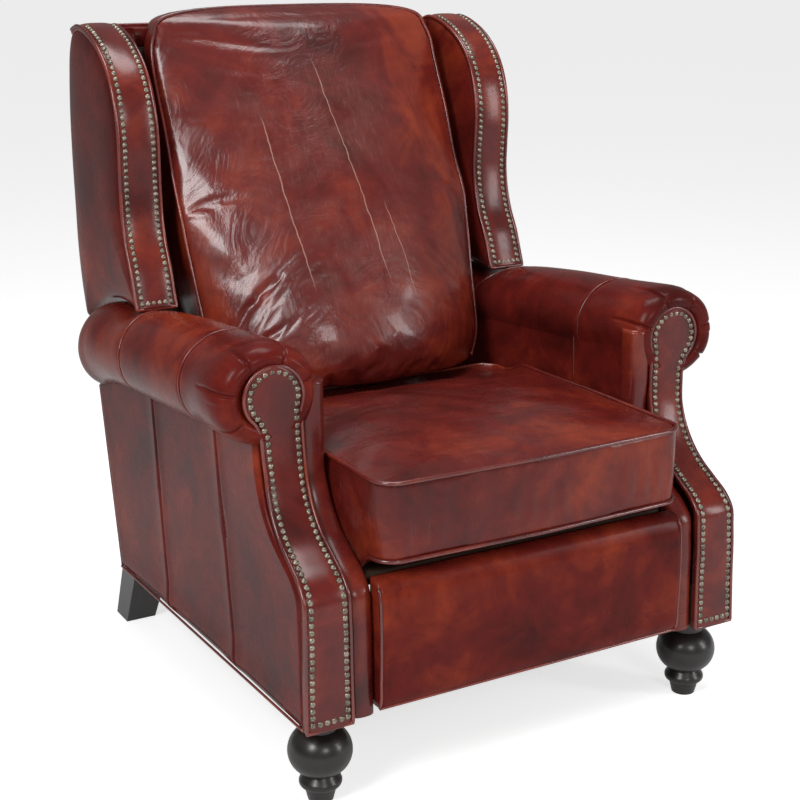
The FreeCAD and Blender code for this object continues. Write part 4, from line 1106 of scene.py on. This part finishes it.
class RECLINER_OT_back_cushion(bpy.types.Operator):
    """The tall back cushion, padded, full at the waist, with piping round its edge"""
    bl_idname = "recliner.back_cushion"
    bl_label = "Back cushion"

    def execute(self, context):
        piece = loft("back_cushion_leather", self.slices(), "back", "back",
                     ["back_cushion"])
        inflate(piece, self.held, 0.018, 3.0)
        self.settle(piece.data)
        subdivide(piece)
        welts("back_cushion_welt", [self.seam()], PIPING["pillow"], "back")
        return {"FINISHED"}

    @staticmethod
    def seam(count=260):
        """The seam round the cushion: up one side, over the arched top and down the other."""
        side = drawn(PILLOW_POINTS, 120)
        right = grid(side[:, 2], side[:, 0], side[:, 1])
        turn = np.linspace(0, np.pi, 90)[1:-1]
        x, y, z = right[-1]
        arch = grid(x * signed_power(np.cos(turn), 0.62), y + 0.012 * np.sin(turn) ** 0.7,
                    z + 0.034 * np.sin(turn) ** 0.75)
        path = even(np.vstack([right, arch, right[::-1] * [-1, 1, 1]]), count)
        return path * [1.004, 1, 1] + [0, FRONT, 0]

    @staticmethod
    def slices():
        """Level slices: a full front between the seams, then straight sides to the flat rear."""
        z = np.r_[0.480, np.linspace(0.486, PILLOW_TOP, 60),
                  PILLOW_TOP + 0.0335 * np.sin(np.linspace(0.08, np.pi / 2, 22))]
        rise = np.clip((z - PILLOW_TOP) / 0.034, 0, 0.995) ** (4 / 3)
        half = np.where(z > PILLOW_TOP, 0.262 * (1 - rise ** 2) ** 0.31,
                        np.interp(z, PILLOW[:, 1], PILLOW[:, 2]))
        rear = back_plane(z) - 0.001
        edge = np.minimum(pillow_edge(z) + 0.012 * rise ** 0.7, rear - 0.012)
        front = np.minimum(np.interp(z, PILLOW_FRONT[:, 1], PILLOW_FRONT[:, 0]), edge - 0.004)
        u = np.linspace(-1, 1, 61)
        bulge = (1 - np.abs(u) ** 3.0) ** 0.85
        z = z[:, None]
        fore = grid(half[:, None] * u, FRONT + between(edge, front, bulge), z)
        right = grid((half - 0.006)[:, None], FRONT + between(edge, rear, np.linspace(0, 1, 8)[1:-1]), z)
        back = grid((half - 0.012)[:, None] * np.linspace(1, -1, 41), FRONT + rear[:, None], z)
        return np.concatenate([fore, right, back, right[:, ::-1] * [-1, 1, 1]], 1)

    @staticmethod
    def held(points):
        """Points that the simulation keeps: the side seams and everything behind them."""
        return (points[:, 1] - FRONT > pillow_edge(points[:, 2]) - 0.008) | (points[:, 2] > 1.078)

    @staticmethod
    def settle(mesh):
        """Draws in the waist corners and adds the soft folds near the seat."""
        x, y, z = read_points(mesh).T
        ahead = smooth(0.010, 0.05, pillow_edge(z) - (y - FRONT))
        fold = np.sin(x * 46 + 30 * (z - 0.5)) * 0.0022 * (1 - smooth(0.50, 0.66, z))
        wave = np.sin(z * 21 + 4 * np.sin(x * 8)) * np.sin(x * 11 + 1.0) * 0.0022
        dents = 0.0028 * dip(np.abs(x), 0.235, 0.03) * np.sin(z * 62 + 8 * x)
        dents *= smooth(0.60, 0.7, z) * (1 - smooth(0.85, 0.95, z))
        limit = np.where(z < 0.66, PILLOW_ROOM["waist"], PILLOW_ROOM["side"])
        move_points(mesh, grid(np.clip(x, -limit, limit), y + (fold + wave + dents) * ahead,
                               np.maximum(z, PILLOW_ROOM["foot"])))


# The leg rest's front seen from the side, as (setback, height), and its half width.
REST_PROFILE = np.array([(28, 147), (6, 147), (-1, 149), (-4, 155), (-6.5, 190), (-7.5, 240),
                         (-6.5, 290), (-3.5, 322), (2, 335), (11, 343), (20, 345), (28, 344.5)]) * MM
REST_HALF = 0.2705


class RECLINER_OT_leg_rest(bpy.types.Operator):
    """The padded leg rest with its rounded top edge and bottom piping"""
    bl_idname = "recliner.leg_rest"
    bl_label = "Leg rest"

    def execute(self, context):
        side = drawn(REST_PROFILE, 60)
        rear = np.stack([np.full(10, 0.028), np.linspace(0.335, 0.155, 10)], 1)
        rings = [(-REST_HALF, share) for share in (0.1, 0.6, 0.88)]
        rings += [(step * (REST_HALF - 0.001), 1 - 0.012 * np.abs(step) ** 40)
                  for step in np.linspace(-1, 1, 81)]
        rings += [(REST_HALF, share) for share in (0.88, 0.6, 0.1)]
        made = slabs(np.vstack([side, rear]), np.array([0.014, 0.246]), rings)
        made[..., 1] += 0.0008 * np.sin(made[..., 0] * 40) * np.sin((made[..., 2] - 0.15) * 16)
        piece = loft("legrest_leather", made, "rest", "body", ["legrest_pad"])
        height = np.linspace(0.15, 0.335, 40)
        front = FRONT + np.interp(height, side[5:, 1], side[5:, 0]) + 0.0015
        paths = [grid(np.linspace(-REST_HALF, REST_HALF, 60), FRONT - 0.001, 0.149)]
        paths += [grid(sign * (REST_HALF - 0.0005), front, height) for _, sign in SIDES]
        welts("legrest_welt", paths, PIPING["rest"], "rest")
        return {"FINISHED"}


class RECLINER_OT_frame_finish(bpy.types.Operator):
    """Wood, steel and lacquer on the frame's own pieces"""
    bl_idname = "recliner.frame_finish"
    bl_label = "Frame finish"

    def execute(self, context):
        by_slot = {"leg_wood": "ebony", "frame_wood": "wood", "mechanism_steel": "steel",
                   "spring_steel": "spring"}
        for part in frame["record"]["subparts"]:
            finish = by_slot.get(part["material_slot"])
            if not finish:
                continue
            slots = frame["nodes"][part["node"]].data.materials
            if not slots:
                slots.append(MATERIALS[finish])
            for index in range(len(slots)):
                slots[index] = MATERIALS[finish]
        return {"FINISHED"}


# Soft lamps: name, place, height of the aim, size and power.
LAMPS = (("key", (-2.6, -1.6, 2.6), 0.6, (0.8, 1.4), 60), ("fill", (2.6, -3.0, 1.6), 0.6, (0.5, 1.8), 32),
         ("top", (0.2, 0.2, 3.4), 0.5, (1.8, 1.0), 42), ("front", (-0.6, -4.0, 2.2), 0.6, (1.0, 0.8), 28))


# The photo's camera: its place, the way it looks and its focal length in millimetres.
CAMERA = (-1.24173, -1.75421 + FRONT, 1.21069)
CAMERA_AHEAD = (0.4764, 0.8314, -0.2860)
LENS = 69.65


class RECLINER_OT_stage(bpy.types.Operator):
    """The pale floor, the soft lamps and the camera"""
    bl_idname = "recliner.stage"
    bl_label = "Stage"

    def execute(self, context):
        self.floor()
        self.lamps()
        self.camera()
        return {"FINISHED"}

    @staticmethod
    def floor():
        """A wide pale floor: it takes the shadow, and glows for the rays that see it as backdrop."""
        mesh = bpy.data.meshes.new("floor")
        reach = 60.0
        mesh.from_pydata([(-reach, -reach, 0), (reach, -reach, 0), (reach, reach, 0), (-reach, reach, 0)],
                         [], [(0, 1, 2, 3)])
        floor = bpy.data.objects.new("floor", mesh)
        bpy.context.scene.collection.objects.link(floor)
        tree = Tree("floor_paint")
        paint = tree.node("ShaderNodeBsdfDiffuse", {}, {"Color": (0.8, 0.8, 0.8)})
        rays = [tree.node("ShaderNodeLightPath", out=n) for n in (0, 3, 6)]
        seen = (rays[0] + (rays[1] + rays[2]) * 0.2).clamp()
        glow = tree.node("ShaderNodeEmission", {}, {"Color": (1, 1, 1), "Strength": 0.66})
        none = tree.node("ShaderNodeEmission", {}, {"Color": (0, 0, 0), "Strength": 0.0})
        lit = tree.node("ShaderNodeMixShader", {}, {0: seen, 1: none, 2: glow})
        both = tree.node("ShaderNodeAddShader", {}, {0: paint, 1: lit})
        tree.tree.links.new(both.socket, tree.output.inputs["Surface"])
        floor.data.materials.append(tree.material)

    @staticmethod
    def lamps():
        """A dim white world and four soft lamps."""
        world = bpy.data.worlds.new("studio")
        bpy.context.scene.world = world
        world.use_nodes = True
        sky = next(n for n in world.node_tree.nodes if n.type == "BACKGROUND")
        sky.inputs["Color"].default_value = (1, 1, 1, 1)
        sky.inputs["Strength"].default_value = 0.22
        for name, place, aim, size, power in LAMPS:
            lamp = bpy.data.lights.new(name, "AREA")
            lamp.shape = "RECTANGLE"
            lamp.size, lamp.size_y = size
            lamp.energy = power
            lamp_object = bpy.data.objects.new(name, lamp)
            bpy.context.scene.collection.objects.link(lamp_object)
            lamp_object.location = place
            lamp_object.rotation_euler = look(np.array((0, 0, aim)) - place)

    @staticmethod
    def camera():
        """The camera at the photo's angle."""
        data = bpy.data.cameras.new("camera")
        data.sensor_width = 36.0
        data.lens = LENS
        data.clip_end = 200
        camera = bpy.data.objects.new("camera", data)
        bpy.context.scene.collection.objects.link(camera)
        camera.location = CAMERA
        camera.rotation_euler = look(CAMERA_AHEAD)
        bpy.context.scene.camera = camera


def look(direction):
    """Turn angles that point an object's -Z along a direction, with no roll."""
    x, y, z = direction
    return (math.atan2(math.hypot(x, y), -z), 0.0, math.atan2(-x, y))


class RECLINER_PT_panel(bpy.types.Panel):
    """The recliner's pieces and their sizes"""
    bl_label = "Wingback recliner"
    bl_idname = "RECLINER_PT_panel"
    bl_space_type = "VIEW_3D"
    bl_region_type = "UI"
    bl_category = "Recliner"

    def draw(self, context):
        scene = context.scene
        for group in (scene.recliner_sizes, scene.recliner_colours):
            for name in group.__annotations__:
                self.layout.prop(group, name)
        for operator in OPERATORS:
            self.layout.operator(operator.bl_idname)


OPERATORS = (RECLINER_OT_frame_finish, RECLINER_OT_arm_facings, RECLINER_OT_arm_rolls,
             RECLINER_OT_arm_sides, RECLINER_OT_wings, RECLINER_OT_outside_back,
             RECLINER_OT_seat_cushion, RECLINER_OT_back_cushion, RECLINER_OT_leg_rest,
             RECLINER_OT_stage)
CLASSES = (ReclinerColours, ReclinerSizes) + OPERATORS + (RECLINER_PT_panel,)


def register():
    for item in CLASSES:
        bpy.utils.register_class(item)
    bpy.types.Scene.recliner_sizes = PointerProperty(type=ReclinerSizes)
    bpy.types.Scene.recliner_colours = PointerProperty(type=ReclinerColours)


def unregister():
    del bpy.types.Scene.recliner_colours
    del bpy.types.Scene.recliner_sizes
    for item in reversed(CLASSES):
        bpy.utils.unregister_class(item)


def main():
    """Makes the finishes and all the pieces."""
    register()
    bpy.context.scene.view_settings.view_transform = "Standard"
    make_materials(bpy.context.scene.recliner_colours)
    for operator in OPERATORS:
        group, name = operator.bl_idname.split(".")
        getattr(getattr(bpy.ops, group), name)()


if __name__ == "__main__":
    main()
